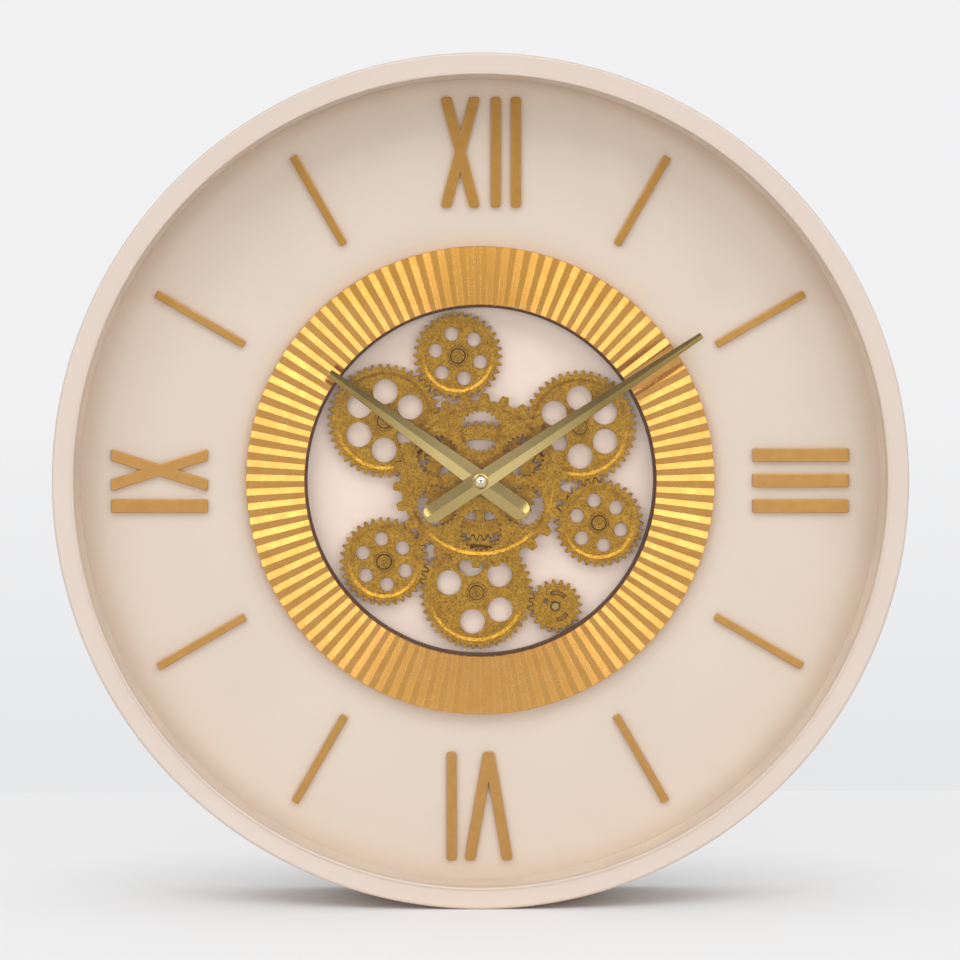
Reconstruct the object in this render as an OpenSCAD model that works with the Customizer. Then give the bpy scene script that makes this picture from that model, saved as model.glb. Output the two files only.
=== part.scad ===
// Round wall clock with a window of turning brass-coloured wheels in the middle of its dial.
// The clock hangs upright. Its wall face lies at Y = 0, it looks along -Y, and +Z is up.
// Each piece is drawn lying on its back, with z as the height above the wall, then stood up.

/* [Case] */
// Outside diameter of the case
case_d = 500; // [490:1:540]
// Thickness of the case's side wall
case_wall = 3; // [2.4:0.1:3.4]
// How far the lip reaches in over the edge of the glass
glass_grip = 2.3; // [1.6:0.1:4]
// Thickness of the lip at its inner edge
lip_t = 3.2; // [2.4:0.1:4]
// How far the lip dishes back from crest to inner edge
lip_drop = 5; // [3:0.1:6]
// Radius of the rounded front corner
crest_r = 4.5; // [3:0.1:5.5]
// Radius of the bead along the lip's inner edge
bead_r = 0.7; // [0.4:0.1:1]
// Radius of the screw bosses inside the case
boss_r = 3.2; // [3:0.1:3.3]
// How many bosses carry the back panel, and how many the dial
bosses = 8; // [6:1:12]
// Thickness of the glass
glass_t = 3; // [2:0.1:4]
// Clearance between the domed nut and the glass
glass_gap = 8.2; // [4:0.1:30]
// Thickness of the soft ring between lip and glass
seal_t = 0.8; // [0.5:0.1:1.2]
// Thickness of the ring that holds the glass off the dial
spacer_t = 1.8; // [1.2:0.1:2]

/* [Back] */
// Thickness of the back panel
panel_t = 3; // [2:0.1:4]
// How far the back panel sits in from the wall
panel_inset = 4; // [3.6:0.1:4.5]
// Radius of the four soft pads that touch the wall
pad_r = 8; // [5:0.5:12]
// Width of the hanger plate
hanger_w = 44; // [40:1:60]
// Height of the hanger plate
hanger_h = 28; // [26:1:34]
// Thickness of the hanger plate
hanger_t = 1.5; // [1:0.1:1.8]
// Radius of the hanger's entry hole
keyhole_r = 4.5; // [4:0.1:5]
// Width of the hanger's upper slot
keyslot_w = 4; // [3.5:0.1:4.5]
// Distance of the hanger's entry hole from the edge of the back panel
hanger_down = 41.6; // [38:0.1:60]

/* [Dial] */
// Thickness of the dial board
dial_t = 3; // [2:0.1:3]
// Radius of the round window in the fluted ring
window_r = 104.6; // [104.4:0.1:108]
// Width of the fluted ring
ring_w = 34.9; // [30:0.1:40]
// Thickness of the fluted ring under its pleats
ring_base = 6.2; // [5.2:0.1:6.6]
// Height of the pleats
pleat_h = 1.8; // [1.4:0.1:2.6]
// Number of pleats
pleats = 100; // [60:1:120]
// Thickness of the brown liner of the window
liner_t = 1.2; // [0.8:0.1:1.3]
// Thickness of the numerals
numeral_t = 3; // [2:0.1:4]
// Length of the numerals at twelve and six, as a share of the lip's radius
tall_share = 0.2725; // [0.2:0.0005:0.3]
// Length of the numerals at three and nine, as a share of the lip's radius
short_share = 0.241; // [0.15:0.0005:0.26]
// Length of the hour batons, as a share of the lip's radius
baton_share = 0.2515; // [0.15:0.0005:0.26]
// Share of the room beside the longest numerals that lies between them and the fluted ring
numeral_gap_share = 0.676; // [0.4:0.002:0.8]
// Stroke width of the numerals at twelve and six
tall_stroke = 6; // [4:0.1:7]
// Stroke width of the numerals at three and nine
short_stroke = 8; // [5:0.1:9]
// Width of the hour batons
baton_w = 4.5; // [3:0.1:8]

/* [Hands] */
// Reach of the minute hand
minute_len = 157; // [120:1:215]
// Reach of the minute hand's tail
minute_tail = 39.5; // [25:0.5:50]
// Width of the minute hand at its middle
minute_w = 11.6; // [9:0.1:14]
// Reach of the hour hand
hour_len = 110.5; // [80:0.5:150]
// Reach of the hour hand's tail
hour_tail = 34.5; // [25:0.5:45]
// Width of the hour hand at its middle
hour_w = 12.4; // [9:0.1:14]
// Thickness of a hand at its edge
hand_t = 0.8; // [0.6:0.1:1]
// Height of the ridge along a hand
ridge_h = 1.1; // [0.5:0.1:1.3]
// Radius of the domed nut
nut_r = 4.7; // [4:0.1:5.6]

/* [Wheels] */
// Clearance between the tooth tips of the large wheels and the window
train_margin = 2.9; // [2.4:0.1:6]
// Teeth of the wheel behind the centre wheel
sun_teeth = 46; // [44:1:46]
// Teeth of the three large wheels
large_teeth = 44; // [43:1:44]
// Teeth of the three small wheels
small_teeth = 34; // [32:1:34]
// Teeth of the drive pinion
pinion_teeth = 20; // [18:1:20]
// Play between meshing teeth, along the pitch circle
backlash = 0.5; // [0.4:0.05:0.7]
// Thickness of the wheels
wheel_t = 3.4; // [3:0.1:3.6]
// Depth of the recess inside each wheel's rim
web_drop = 0.9; // [0.5:0.1:1.2]
// Number of coarse teeth on the centre wheel
coarse_teeth = 26; // [20:1:30]
// Radius to the tips of the coarse teeth
coarse_r = 52.3; // [50:0.1:55]
// Height of the coarse teeth
coarse_h = 4.4; // [3:0.1:5]
// Radius of the posts that carry the wheels
post_r = 1.5; // [1.2:0.1:2]

/* [Movement] */
// Wall thickness of both housings
housing_t = 1.2; // [1:0.1:1.5]
// Thickness of the covers of both housings
cover_t = 2; // [1.6:0.1:2]
// Diameter of the AA cells
cell_d = 14.5; // [14:0.1:14.5]
// Length of the AA cells without the button
cell_len = 49.2; // [48.6:0.1:50]
// Room for the springs at the ends of the cells
spring_room = 2.3; // [2:0.1:4]
// Radius of the threaded bush round the hand arbors
bush_r = 4; // [3.8:0.1:4.4]
// Radius of the hour pipe
pipe_r = 2.7; // [2.5:0.1:2.8]
// Radius of the minute arbor
arbor_r = 1.6; // [1.4:0.1:1.7]
// Pitch radius of the hour wheel, which sets the teeth of all small wheels inside the housings
hour_wheel_r = 9; // [8.8:0.1:9.2]
// Travel of the drive switch
switch_travel = 3; // [2:0.1:3.5]

/* [Hidden] */
$fn = 96;

// Overrun that carries every cut clear of its faces
over = 1;
// Gap between pieces that fit loosely into one another
slip = 0.4;
// Radial play of an arbor in its bearing
fit = 0.08;
// Gap between flat faces that turn past each other
face_gap = 0.2;
// How deep a boss or rib runs into the wall that carries it
sink = 0.6;

// Back panel and the two housings that show through it
panel_z = panel_inset;
panel_front = panel_z + panel_t;
cell_room = 1;
housing_front_t = 1.5;
housing_depth = cell_d + cell_room + housing_front_t;
housing_z = panel_z;
housing_front = housing_z + housing_depth;
housing_floor = housing_front - housing_front_t;
cover_front = housing_z + cover_t;
corner_r = 3;

// Tray, bush and wheels, from the wall outwards
tray_t = 2.2;
tray_front = housing_front + tray_t;
washer_t = 0.6;
nut_t = 1.8;
train_gap = 0.5;
wheel_z = tray_front + washer_t + nut_t + train_gap;
wheel_front = wheel_z + wheel_t;
hub_rise = 2;
centre_z = wheel_front + hub_rise;
centre_front = centre_z + wheel_t;
clip_t = 1.2;
clip_z = centre_front + face_gap;
bush_front = clip_z + clip_t + slip;

// Dial, ring, hands and glass
liner_flange_t = 1;
liner_z = wheel_front + train_gap;
dial_back = liner_z + liner_flange_t;
dial_z = dial_back + dial_t;
liner_rise = 1.5;
valley_z = dial_z + ring_base;
crest_z = valley_z + pleat_h;
hand_gap = 2.5;
hand_space = 1.8;
hour_z = crest_z + hand_gap;
hour_front = hour_z + hand_t + ridge_h;
minute_z = hour_front + hand_space;
minute_front = minute_z + hand_t + ridge_h;
glass_z = minute_front + nut_r + glass_gap;
glass_front = glass_z + glass_t;
seat_z = glass_front + seal_t;
case_depth = seat_z + lip_t + lip_drop;

// Radii of the case and of what it holds
case_r = case_d / 2;
bore_r = case_r - case_wall;
boss_ring_r = bore_r - boss_r + sink;
glass_r = boss_ring_r - boss_r - slip;
lip_r = glass_r - glass_grip;
lip_w = case_r - lip_r;
panel_r = bore_r - slip;
boss_step = 360 / bosses;
pilot_depth = 12;
hanger_up = panel_r - hanger_down;
ring_r = window_r + ring_w;
liner_r = window_r - liner_t;
tall_len = tall_share * lip_r;
short_len = short_share * lip_r;
baton_len = baton_share * lip_r;
numeral_r = ring_r + numeral_gap_share * (lip_r - ring_r - tall_len);
tray_gap = 3.4;
tray_r = window_r + tray_gap;
tray_wall = 2;
tray_flange_t = 2;
flange_w = 14;
flange_screw_r = tray_r + flange_w / 2;

// Screws and pivots
screw_r = 1.2;
head_r = 2.2;
head_h = 1.6;
cross_w = 0.7;
pivot_r = 1;

// Wheel train behind the window, with angles as seen from the front
large_angle = 148.1;
small_angle = 100.25;
third = 120;
pinion_angle = -9.9;
pressure = 20;
flank_steps = 3;
addendum_share = 0.8;
tooth_m = (window_r - train_margin) / (sun_teeth / 2 + large_teeth + addendum_share);
addendum = addendum_share * tooth_m;
dedendum = tooth_m;
sun_r = sun_teeth * tooth_m / 2;
large_r = large_teeth * tooth_m / 2;
small_r = small_teeth * tooth_m / 2;
pinion_r = pinion_teeth * tooth_m / 2;
large_place_r = sun_r + large_r;
mesh_r = large_r + small_r;
lean = large_angle - small_angle;
reach = large_place_r * cos(lean);
small_place_r = reach + sqrt(mesh_r * mesh_r - pow(large_place_r * sin(lean), 2));
large_left = polar(large_place_r, large_angle);
large_right = polar(large_place_r, large_angle - third);
large_bottom = polar(large_place_r, large_angle + third);
small_top = polar(small_place_r, small_angle);
small_right = polar(small_place_r, small_angle - third);
small_left = polar(small_place_r, small_angle + third);
pinion_at = large_bottom + polar(large_r + pinion_r, pinion_angle);
post_places = [large_left, large_right, large_bottom, small_top, small_right, small_left];

// Tooth phases, each worked out from the wheel that it meshes with
left_phase = mesh_phase(large_angle, sun_teeth, 0, large_teeth);
right_phase = mesh_phase(large_angle - third, sun_teeth, 0, large_teeth);
bottom_phase = mesh_phase(large_angle + third, sun_teeth, 0, large_teeth);
top_phase = mesh_phase(heading(large_left, small_top), large_teeth, left_phase, small_teeth);
east_phase = mesh_phase(heading(large_right, small_right), large_teeth, right_phase, small_teeth);
west_phase = mesh_phase(heading(large_bottom, small_left), large_teeth, bottom_phase, small_teeth);
pinion_phase = mesh_phase(pinion_angle, large_teeth, bottom_phase, pinion_teeth);

// Wheel webs: rims, windows and hubs
large_rim = 2.3;
small_rim = 2.4;
large_hole_share = 0.2273;
large_hole_place_share = 0.53;
small_hole_share = 0.1647;
small_hole_place_share = 0.54;
left_hole_angles = [for (k = [0:5]) 28.5 + 60 * k];
right_hole_angles = [for (k = [0:5]) 31 + 60 * k];
bottom_hole_angles = [38, 100, 160, 262, 324];
wheel_hub_r = 5.6;
hub_groove = 0.5;
cap_r = 3.9;
cap_boss_r = 2.5;
cap_t = 1.2;
coarse_rim = 3.3;
window_hole_share = 0.241;
window_place_share = 0.568;
window_hole_r = window_hole_share * coarse_r;
window_place_r = window_place_share * coarse_r;
window_teeth = 24;
window_tooth_h = 1.3;
centre_hub_r = 9;
spokes = 5;
spoke_w = 5.2;
sun_rim = 8.4;
sun_hub_r = 9.5;

// Curved slots of the drive pinion, each as its middle and half its span, and the eye beside them
pinion_slots = [[77, 33], [302, 25]];
slot_inner_share = 0.46;
slot_outer_share = 0.62;
eye_place_share = 0.44;
eye_share = 0.09;
eye_angle = 151;

// Round stand-offs on the tray floor, between the wheels
standoff_r = 3.6;
standoff_place_share = 0.488;
standoff_angles = [120, 236, 353];

// Motion work in the movement, which turns the hour pipe once in twelve turns of the minute arbor
cannon_teeth = 12;
motion_teeth = 36;
motion_pinion_teeth = 10;
hour_teeth = 40;
motion_angle = 60;
fine_m = 2 * hour_wheel_r / hour_teeth;
motion_place_r = (motion_pinion_teeth + hour_teeth) * fine_m / 2;
cannon_m = 2 * motion_place_r / (cannon_teeth + motion_teeth);
motion_at = polar(motion_place_r, motion_angle);
cover_gap = 1;
cannon_h = 3;
fine_t = 2.4;
cannon_z = cover_front + cover_gap;
motion_z = cannon_z + face_gap;
hour_wheel_z = motion_z + fine_t + hub_rise;
motion_arbor_r = 1.2;
motion_phase = mesh_phase(motion_angle, cannon_teeth, 0, motion_teeth);
hour_phase = mesh_phase(motion_angle + 180, motion_pinion_teeth, 0, hour_teeth);

// Both housings: a gear room above, and one cell or two below
contact_t = 0.4;
cell_button_h = 1.3;
bay_play = 0.8;
bay_h = cell_d + bay_play;
housing_w = cell_len + cell_button_h + 2 * contact_t + spring_room + 2 * housing_t;
drive_side = 9;
drive_above = 18;
drive_below = 5.75;
output_teeth = 50;
gear_room_h = drive_above + output_teeth * fine_m / 2 + drive_below;
drive_h = gear_room_h + 2 * bay_h + 4 * housing_t;
drive_at = [pinion_at[0] - drive_side, pinion_at[1] + drive_above + housing_t - drive_h / 2];
drive_top = drive_h / 2 - housing_t;
reduction_pinion_teeth = 10;
reduction_teeth = 40;
rotor_teeth = 8;
output_arbor_r = 2;
output_lift = 6;
reduction_lift = 2;
output_z = cover_front + output_lift;
reduction_z = cover_front + reduction_lift;
reduction_angle = 165;
rotor_angle = 200;
reduction_at = pinion_at + polar((output_teeth + reduction_pinion_teeth) * fine_m / 2, reduction_angle);
rotor_at = reduction_at + polar((reduction_teeth + rotor_teeth) * fine_m / 2, rotor_angle);
reduction_phase = mesh_phase(reduction_angle, output_teeth, 0, reduction_pinion_teeth);
rotor_phase = mesh_phase(rotor_angle, reduction_teeth, reduction_phase, rotor_teeth);
magnet_r = 3.6;
magnet_h = 3;
lug_w = 8;
lug_t = 2.5;
lug_down = 4.2;

// Coil, stator plate and circuit board
coil_r = 3.2;
coil_len = 17;
stator_t = 1;
stator_w = 17;
stator_z = housing_floor - slip - coil_r - stator_t / 2;
board_t = 1;

// Set knob, cells and switch
knob_r = 6.5;
knob_t = 2.4;
knob_flutes = 20;
cell_button_r = 2.7;
cell_z = housing_floor - face_gap - cell_d / 2;
contact_w = 10;
spring_r = 3;
thumb = 3.2;
thumb_rise = 1.6;
slider_t = 1.6;

// Direction of each hand as seen from the front, anticlockwise from three o'clock
minute_angle = 33.5;
hour_angle = 144.3;
hand_tip_share = 0.33;
hour_tip_share = 0.39;

// Rooms of the two housings
movement_top = 26.8;
movement_play = 1.3;
movement_low = -hour_wheel_r - movement_play;
bay_low = movement_low - housing_t - bay_h;
movement_h = movement_top - bay_low + 2 * housing_t;
gear_room_low = drive_top - gear_room_h;
drive_bays = [for (k = [0, 1]) gear_room_low - housing_t - bay_h / 2 - k * (bay_h + housing_t)];
lug_places = [
  for (s = [-1, 1]) [drive_at[0] + s * (housing_w + lug_w) / 2, pinion_at[1] + drive_above - lug_down]
];
post_in = 2;
bearing_h = housing_floor - output_z - fine_t - 2 * face_gap;
rotor_bearing_h = housing_floor - stator_z - (magnet_h + stator_t) / 2 - face_gap;
bearing_wall = 1.4;
end_play = 0.9;
support_r = 1.5;
rotor_in = 2.4;
coil_in = 0.3;
coil_up = 6;
clock_coil_at = [housing_t + coil_in + stator_w / 2 - housing_w / 2, coil_up];
drive_coil_at = rotor_at - [rotor_in, 0];
board_in = 1.8;
board_w = 13;
board_at = [housing_w / 2 - housing_t - board_in - board_w / 2, coil_up];
board_l = 24;
board_lift = 3;
board_z = housing_floor - board_lift;
switch_side = 3;
switch_in = 4.5;
switch_at = pinion_at + [switch_side, drive_above - switch_in];

// Hanger and ring fixings
keyslot_rise = 9;
head_room = 2.5;
rivet_r = 1.6;
rivet_in = 5;
rivet_head_t = 1;
rivet_head_r = 2.9;
pad_in = 20;
ring_pilot = ring_base / 2;

// Helpers

// Point at radius r and angle a
function polar(r, a) = [r * cos(a), r * sin(a)];

// Direction from one point to another
function heading(from, to) = atan2(to[1] - from[1], to[0] - from[0]);

// Turn of a wheel that puts its teeth in the gaps of a wheel it meets in direction dir
function mesh_phase(dir, teeth_a, phase_a, teeth_b) =
  dir + 180 - 180 / teeth_b + (dir - phase_a) * teeth_a / teeth_b;

// Involute function, in degrees
function involute(a) = tan(a) * 180 / PI - a;

// Half the angle of a tooth at radius rho
function half_tooth(rho, pitch_r, half_pitch) =
  half_pitch + involute(pressure) - involute(acos(min(1, pitch_r * cos(pressure) / rho)));

// Stands a piece that was drawn on its back up against the wall
module upright() rotate([90, 0, 0]) children();

module at(p, z = 0) translate([p[0], p[1], z]) children();

// Copies on a circle of radius r, each turned with its place
module ring_of(n, r, start = 0) for (k = [0:n - 1])
  rotate(start + k * 360 / n) translate([r, 0, 0]) children();

module tube(outer, inner, z, h) translate([0, 0, z]) difference() {
  cylinder(r = outer, h = h);
  translate([0, 0, -over]) cylinder(r = inner, h = h + 2 * over);
}

module bore(r, z, h) translate([0, 0, z - over]) cylinder(r = r, h = h + 2 * over);

module rounded_rect(w, h, r) union() {
  square([w - 2 * r, h], center = true);
  square([w, h - 2 * r], center = true);
  for (x = [-1, 1], y = [-1, 1]) translate([x * (w / 2 - r), y * (h / 2 - r)]) circle(r);
}

// Outline of a toothed wheel, with teeth of involute form
module gear_outline(teeth, mod, add, ded, play, phase = 0) {
  pitch_r = teeth * mod / 2;
  root = pitch_r - ded;
  half_pitch = 90 / teeth - play / 4 / pitch_r * 180 / PI;
  polygon([
    for (k = [0:teeth - 1], s = [0:2 * flank_steps + 1])
      let (
        side = s <= flank_steps ? -1 : 1,
        step = s <= flank_steps ? s : 2 * flank_steps + 1 - s,
        rho = root + (add + ded) * step / flank_steps
      )
      polar(rho, phase + 360 * k / teeth + side * half_tooth(rho, pitch_r, half_pitch))
  ]);
}

// Small wheel or pinion of the clockwork
module fine_gear(teeth, mod, h, phase = 0) linear_extrude(h)
  gear_outline(teeth, mod, 0.8 * mod, mod, mod / 3, phase);

// Slot-headed or cross-headed screw that points away from the wall, its head below z
module screw(z, len) {
  difference() {
    translate([0, 0, z - head_h]) cylinder(r = head_r, h = head_h);
    for (a = [0, 90]) rotate(a) translate([-head_r / 2, -cross_w / 2, z - head_h - over])
      cube([head_r, cross_w, head_h / 2 + over]);
  }
  translate([0, 0, z]) cylinder(r = screw_r, h = len);
}

// Case

module case_rim() color("antiquewhite") upright() difference() {
  union() {
    rotate_extrude($fn = 240) polygon(concat(
      [[bore_r, 0], [case_r, 0]],
      [for (a = [0:15:90]) [case_r - crest_r, case_depth - crest_r] + polar(crest_r, a)],
      [for (t = [0.15:0.17:1]) dish_point(t)],
      [[lip_r, seat_z], [bore_r, seat_z]]
    ));
    rotate_extrude($fn = 240) translate([lip_r + bead_r, case_depth - lip_drop]) circle(bead_r, $fn = 24);
    intersection() {
      union() {
        ring_of(bosses, boss_ring_r) translate([0, 0, panel_front])
          cylinder(r = boss_r, h = seat_z + sink - panel_front);
        ring_of(bosses, boss_ring_r, boss_step / 2) translate([0, 0, dial_z])
          cylinder(r = boss_r, h = seat_z + sink - dial_z);
      }
      cylinder(r = case_r - case_wall / 2, h = case_depth);
    }
  }
  ring_of(bosses, boss_ring_r) bore(screw_r, panel_front, pilot_depth);
  ring_of(bosses, boss_ring_r, boss_step / 2) bore(screw_r, dial_z, pilot_depth);
}

// Point on the hollow face of the lip, from the crest at 0 to the inner edge at 1
function dish_point(t) = [
  case_r - crest_r - t * (lip_w - crest_r),
  case_depth - lip_drop * (1 - (1 - t) * (1 - t))
];

module glass() color("lightcyan", 0.3) upright() translate([0, 0, glass_z])
  cylinder(r = glass_r, h = glass_t, $fn = 240);

module glass_seal() color("dimgray") upright() tube(glass_r, lip_r + bead_r, glass_front, seal_t);

module spacer_ring() color("antiquewhite") upright()
  tube(glass_r, glass_r - spacer_t, dial_z, glass_z - dial_z);

module dial_board() color("bisque") upright() translate([0, 0, dial_back]) difference() {
  linear_extrude(dial_t) union() {
    circle(glass_r, $fn = 240);
    ring_of(bosses, 0, boss_step / 2) translate([0, -boss_r]) square([panel_r, 2 * boss_r]);
  }
  bore(window_r + slip, 0, dial_t);
  ring_of(bosses, boss_ring_r, boss_step / 2) bore(screw_r, 0, dial_t);
  ring_of(bosses, flange_screw_r, boss_step / 2) bore(screw_r, 0, dial_t);
}

// Ring folded into pleats that run from its inner to its outer edge
module fluted_ring() color("goldenrod") upright() difference() {
  pleated_ring();
  ring_of(bosses, flange_screw_r, boss_step / 2) translate([0, 0, dial_z - over])
    cylinder(r = screw_r, h = ring_pilot + over);
}

module pleated_ring() {
  n = 2 * pleats;
  points = [
    for (k = [0:n - 1]) let (a = 360 * k / n)
      each [
        for (r = [window_r, ring_r]) for (z = [dial_z, k % 2 == 0 ? crest_z : valley_z])
          [r * cos(a), r * sin(a), z]
      ]
  ];
  polyhedron(points, [
    for (k = [0:n - 1]) let (a = 4 * k, b = 4 * ((k + 1) % n))
      each [
        [a + 1, b + 1, b + 3], [a + 1, b + 3, a + 3],
        [a, a + 2, b + 2], [a, b + 2, b],
        [a + 2, a + 3, b + 3], [a + 2, b + 3, b + 2],
        [a, b, b + 1], [a, b + 1, a + 1]
      ]
  ]);
}

module window_liner() color("saddlebrown") upright() difference() {
  union() {
    tube(window_r - fit, liner_r, liner_z, dial_z + liner_rise - liner_z);
    tube(tray_r + flange_w, liner_r, liner_z, liner_flange_t);
  }
  ring_of(bosses, flange_screw_r, boss_step / 2) bore(screw_r, liner_z, liner_flange_t);
}

module gear_tray() color("antiquewhite") upright() difference() {
  union() {
    translate([0, 0, housing_front]) cylinder(r = tray_r + tray_wall, h = tray_t);
    tube(tray_r + tray_wall, tray_r, housing_front, liner_z - housing_front);
    tube(tray_r + flange_w, tray_r, liner_z - tray_flange_t, tray_flange_t);
    for (a = standoff_angles) at(polar(standoff_place_share * window_r, a), tray_front - sink)
      cylinder(r = standoff_r, h = sink + wheel_z - tray_front - 3 * face_gap);
  }
  bore(bush_r + fit, housing_front, tray_t);
  at(pinion_at) bore(output_arbor_r + slip, housing_front, tray_t);
  for (p = post_places) at(p) bore(post_r, housing_front, tray_t);
  for (p = lug_places) at(p) bore(screw_r, housing_front, tray_t);
  ring_of(bosses, flange_screw_r, boss_step / 2) bore(screw_r, liner_z - tray_flange_t, tray_flange_t);
}

// Dial markings

// A numeral is drawn with its foot at the middle of the dial and stands at clock angle a
module numeral(a) upright() rotate(-a) translate([0, numeral_r, dial_z]) linear_extrude(numeral_t) children();

// Slanted stroke from x0 at the foot to x1 at the top
module stroke(x0, x1, w, h) polygon([[x0 - w / 2, 0], [x0 + w / 2, 0], [x1 + w / 2, h], [x1 - w / 2, h]]);

module bar(x, w, h) stroke(x, x, w, h);

module cross(x, spread, w, h) {
  stroke(x - spread / 2, x + spread / 2, w, h);
  stroke(x + spread / 2, x - spread / 2, w, h);
}

module numeral_xii() color("darkgoldenrod") numeral(0) {
  cross(-2 * tall_stroke, 2.9 * tall_stroke, 1.1 * tall_stroke, tall_len);
  bar(1.5 * tall_stroke, tall_stroke, tall_len);
  bar(3.5 * tall_stroke, tall_stroke, tall_len);
}

module numeral_iii() color("darkgoldenrod") numeral(90)
  for (k = [-1:1]) bar(k * 1.87 * short_stroke, short_stroke, short_len);

module numeral_vi() color("darkgoldenrod") numeral(180) {
  stroke(-0.75 * tall_stroke, -4.1 * tall_stroke, tall_stroke, tall_len);
  stroke(-0.75 * tall_stroke, 2.4 * tall_stroke, tall_stroke, tall_len);
  bar(3 * tall_stroke, tall_stroke, tall_len);
}

module numeral_ix() color("darkgoldenrod") numeral(270) {
  bar(-1.9 * short_stroke, short_stroke, short_len);
  cross(1.2 * short_stroke, 2.3 * short_stroke, short_stroke, short_len);
}

module hour_batons() color("darkgoldenrod") for (k = [1, 2, 4, 5, 7, 8, 10, 11])
  numeral(30 * k) bar(0, baton_w, baton_len);

// Wheels

// Recess of a web, with a side that slopes in over twice the depth of the recess
module recess(r) {
  cylinder(r1 = r - 2 * web_drop, r2 = r, h = web_drop);
  translate([0, 0, web_drop]) cylinder(r = r, h = over);
}

// Flat wheel with a raised toothed rim, a recessed web, round holes and a ringed hub
module train_wheel(teeth, phase, rim, hole_share, place_share, hole_angles) {
  root = teeth * tooth_m / 2 - dedendum;
  web_front = wheel_front - web_drop;
  difference() {
    translate([0, 0, wheel_z]) linear_extrude(wheel_t)
      gear_outline(teeth, tooth_m, addendum, dedendum, backlash, phase);
    translate([0, 0, web_front]) difference() {
      recess(root - rim);
      translate([0, 0, -over]) cylinder(r = wheel_hub_r, h = web_drop + 3 * over);
    }
    tube(wheel_hub_r - 2 * hub_groove, wheel_hub_r - 3 * hub_groove, web_front, web_drop + over);
    for (a = hole_angles) at(polar(place_share * teeth * tooth_m / 2, a))
      bore(hole_share * teeth * tooth_m / 2, wheel_z, wheel_t);
    bore(post_r + fit, wheel_z, wheel_t);
  }
}

module large_wheel(place, phase, hole_angles) color("darkgoldenrod") upright() at(place)
  train_wheel(large_teeth, phase, large_rim, large_hole_share, large_hole_place_share, hole_angles);

module small_wheel(place, phase, first_hole) color("darkgoldenrod") upright() at(place)
  train_wheel(small_teeth, phase, small_rim, small_hole_share, small_hole_place_share,
    [for (k = [0:5]) first_hole + 60 * k]);

module large_wheel_left() large_wheel(large_left, left_phase, left_hole_angles);

module large_wheel_right() large_wheel(large_right, right_phase, right_hole_angles);

module large_wheel_bottom() large_wheel(large_bottom, bottom_phase, bottom_hole_angles);

module small_wheel_top() small_wheel(small_top, top_phase, 46);

module small_wheel_right() small_wheel(small_right, east_phase, 42);

module small_wheel_left() small_wheel(small_left, west_phase, 37);

// Pinion with two curved slots, on the drive arbor
module drive_pinion() color("darkgoldenrod") upright() at(pinion_at) difference() {
  union() {
    translate([0, 0, wheel_z]) linear_extrude(wheel_t)
      gear_outline(pinion_teeth, tooth_m, addendum, dedendum, backlash, pinion_phase);
    translate([0, 0, tray_front + train_gap]) cylinder(r = 2 * output_arbor_r, h = wheel_z - tray_front);
  }
  for (s = pinion_slots) rotate(s[0]) intersection() {
    tube(slot_outer_share * pinion_r, slot_inner_share * pinion_r, wheel_front - 2 * web_drop, 3 * web_drop);
    translate([0, 0, wheel_front - 3 * web_drop]) linear_extrude(5 * web_drop)
      polygon([[0, 0], polar(2 * pinion_r, -s[1]), polar(2 * pinion_r, s[1])]);
  }
  at(polar(eye_place_share * pinion_r, eye_angle)) bore(eye_share * pinion_r, wheel_z, wheel_t);
  translate([0, 0, wheel_front - web_drop]) cylinder(r = 1.5 * output_arbor_r, h = web_drop + over);
  bore(output_arbor_r, tray_front, wheel_front - tray_front);
}

// Wheel behind the centre wheel: it meshes with the three large wheels
module sun_wheel() color("goldenrod") upright() difference() {
  union() {
    translate([0, 0, wheel_z]) linear_extrude(wheel_t) difference() {
      gear_outline(sun_teeth, tooth_m, addendum, dedendum, backlash);
      difference() {
        circle(sun_r - dedendum - sun_rim);
        circle(sun_hub_r);
        ring_of(spokes, 0, 270) translate([0, -spoke_w / 2]) square([sun_r, spoke_w]);
      }
    }
    translate([0, 0, wheel_z]) cylinder(r = centre_hub_r - hub_rise, h = centre_z - wheel_z);
  }
  bore(bush_r + fit, wheel_z, centre_z - wheel_z);
}

// Outline of a round window edged with small inward teeth
module toothed_window() polygon([
  for (k = [0:window_teeth - 1], s = [0:3])
    polar(s < 2 ? window_hole_r : window_hole_r - window_tooth_h, (k + s / 4) * 360 / window_teeth)
]);

// Coarse front wheel with six toothed windows
module centre_wheel() color("goldenrod") upright() {
  coarse_m = 2 * (coarse_r - coarse_h / 2) / coarse_teeth;
  difference() {
    translate([0, 0, centre_z]) linear_extrude(wheel_t) difference() {
      gear_outline(coarse_teeth, coarse_m, coarse_h / 2, coarse_h / 2, coarse_m / 4, 4);
      ring_of(6, window_place_r, 30) toothed_window();
    }
    translate([0, 0, centre_front - web_drop]) recess(coarse_r - coarse_h - coarse_rim);
    bore(bush_r + fit, centre_z, wheel_t);
  }
  tube(centre_hub_r, bush_r + fit, centre_front - web_drop, web_drop);
}

// Fixed posts, each with a shoulder that its wheel turns on
module wheel_posts() color("silver") upright() for (p = post_places) at(p) {
  translate([0, 0, housing_front]) cylinder(r = post_r, h = wheel_front + face_gap + cap_t / 2 - housing_front);
  translate([0, 0, tray_front]) cylinder(r = 2 * post_r, h = wheel_z - face_gap - tray_front);
}

// Stepped caps on the posts, each with a raised boss round the sunk end of its post
module post_caps() color("goldenrod") upright() for (p = post_places) at(p, wheel_front + face_gap)
  difference() {
    union() {
      cylinder(r = cap_r, h = cap_t / 2);
      cylinder(r = cap_boss_r, h = cap_t);
    }
    bore(post_r, 0, cap_t);
  }

module centre_clip() color("goldenrod") upright() tube(bush_r + 2 * clip_t, bush_r, clip_z, clip_t);

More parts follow.
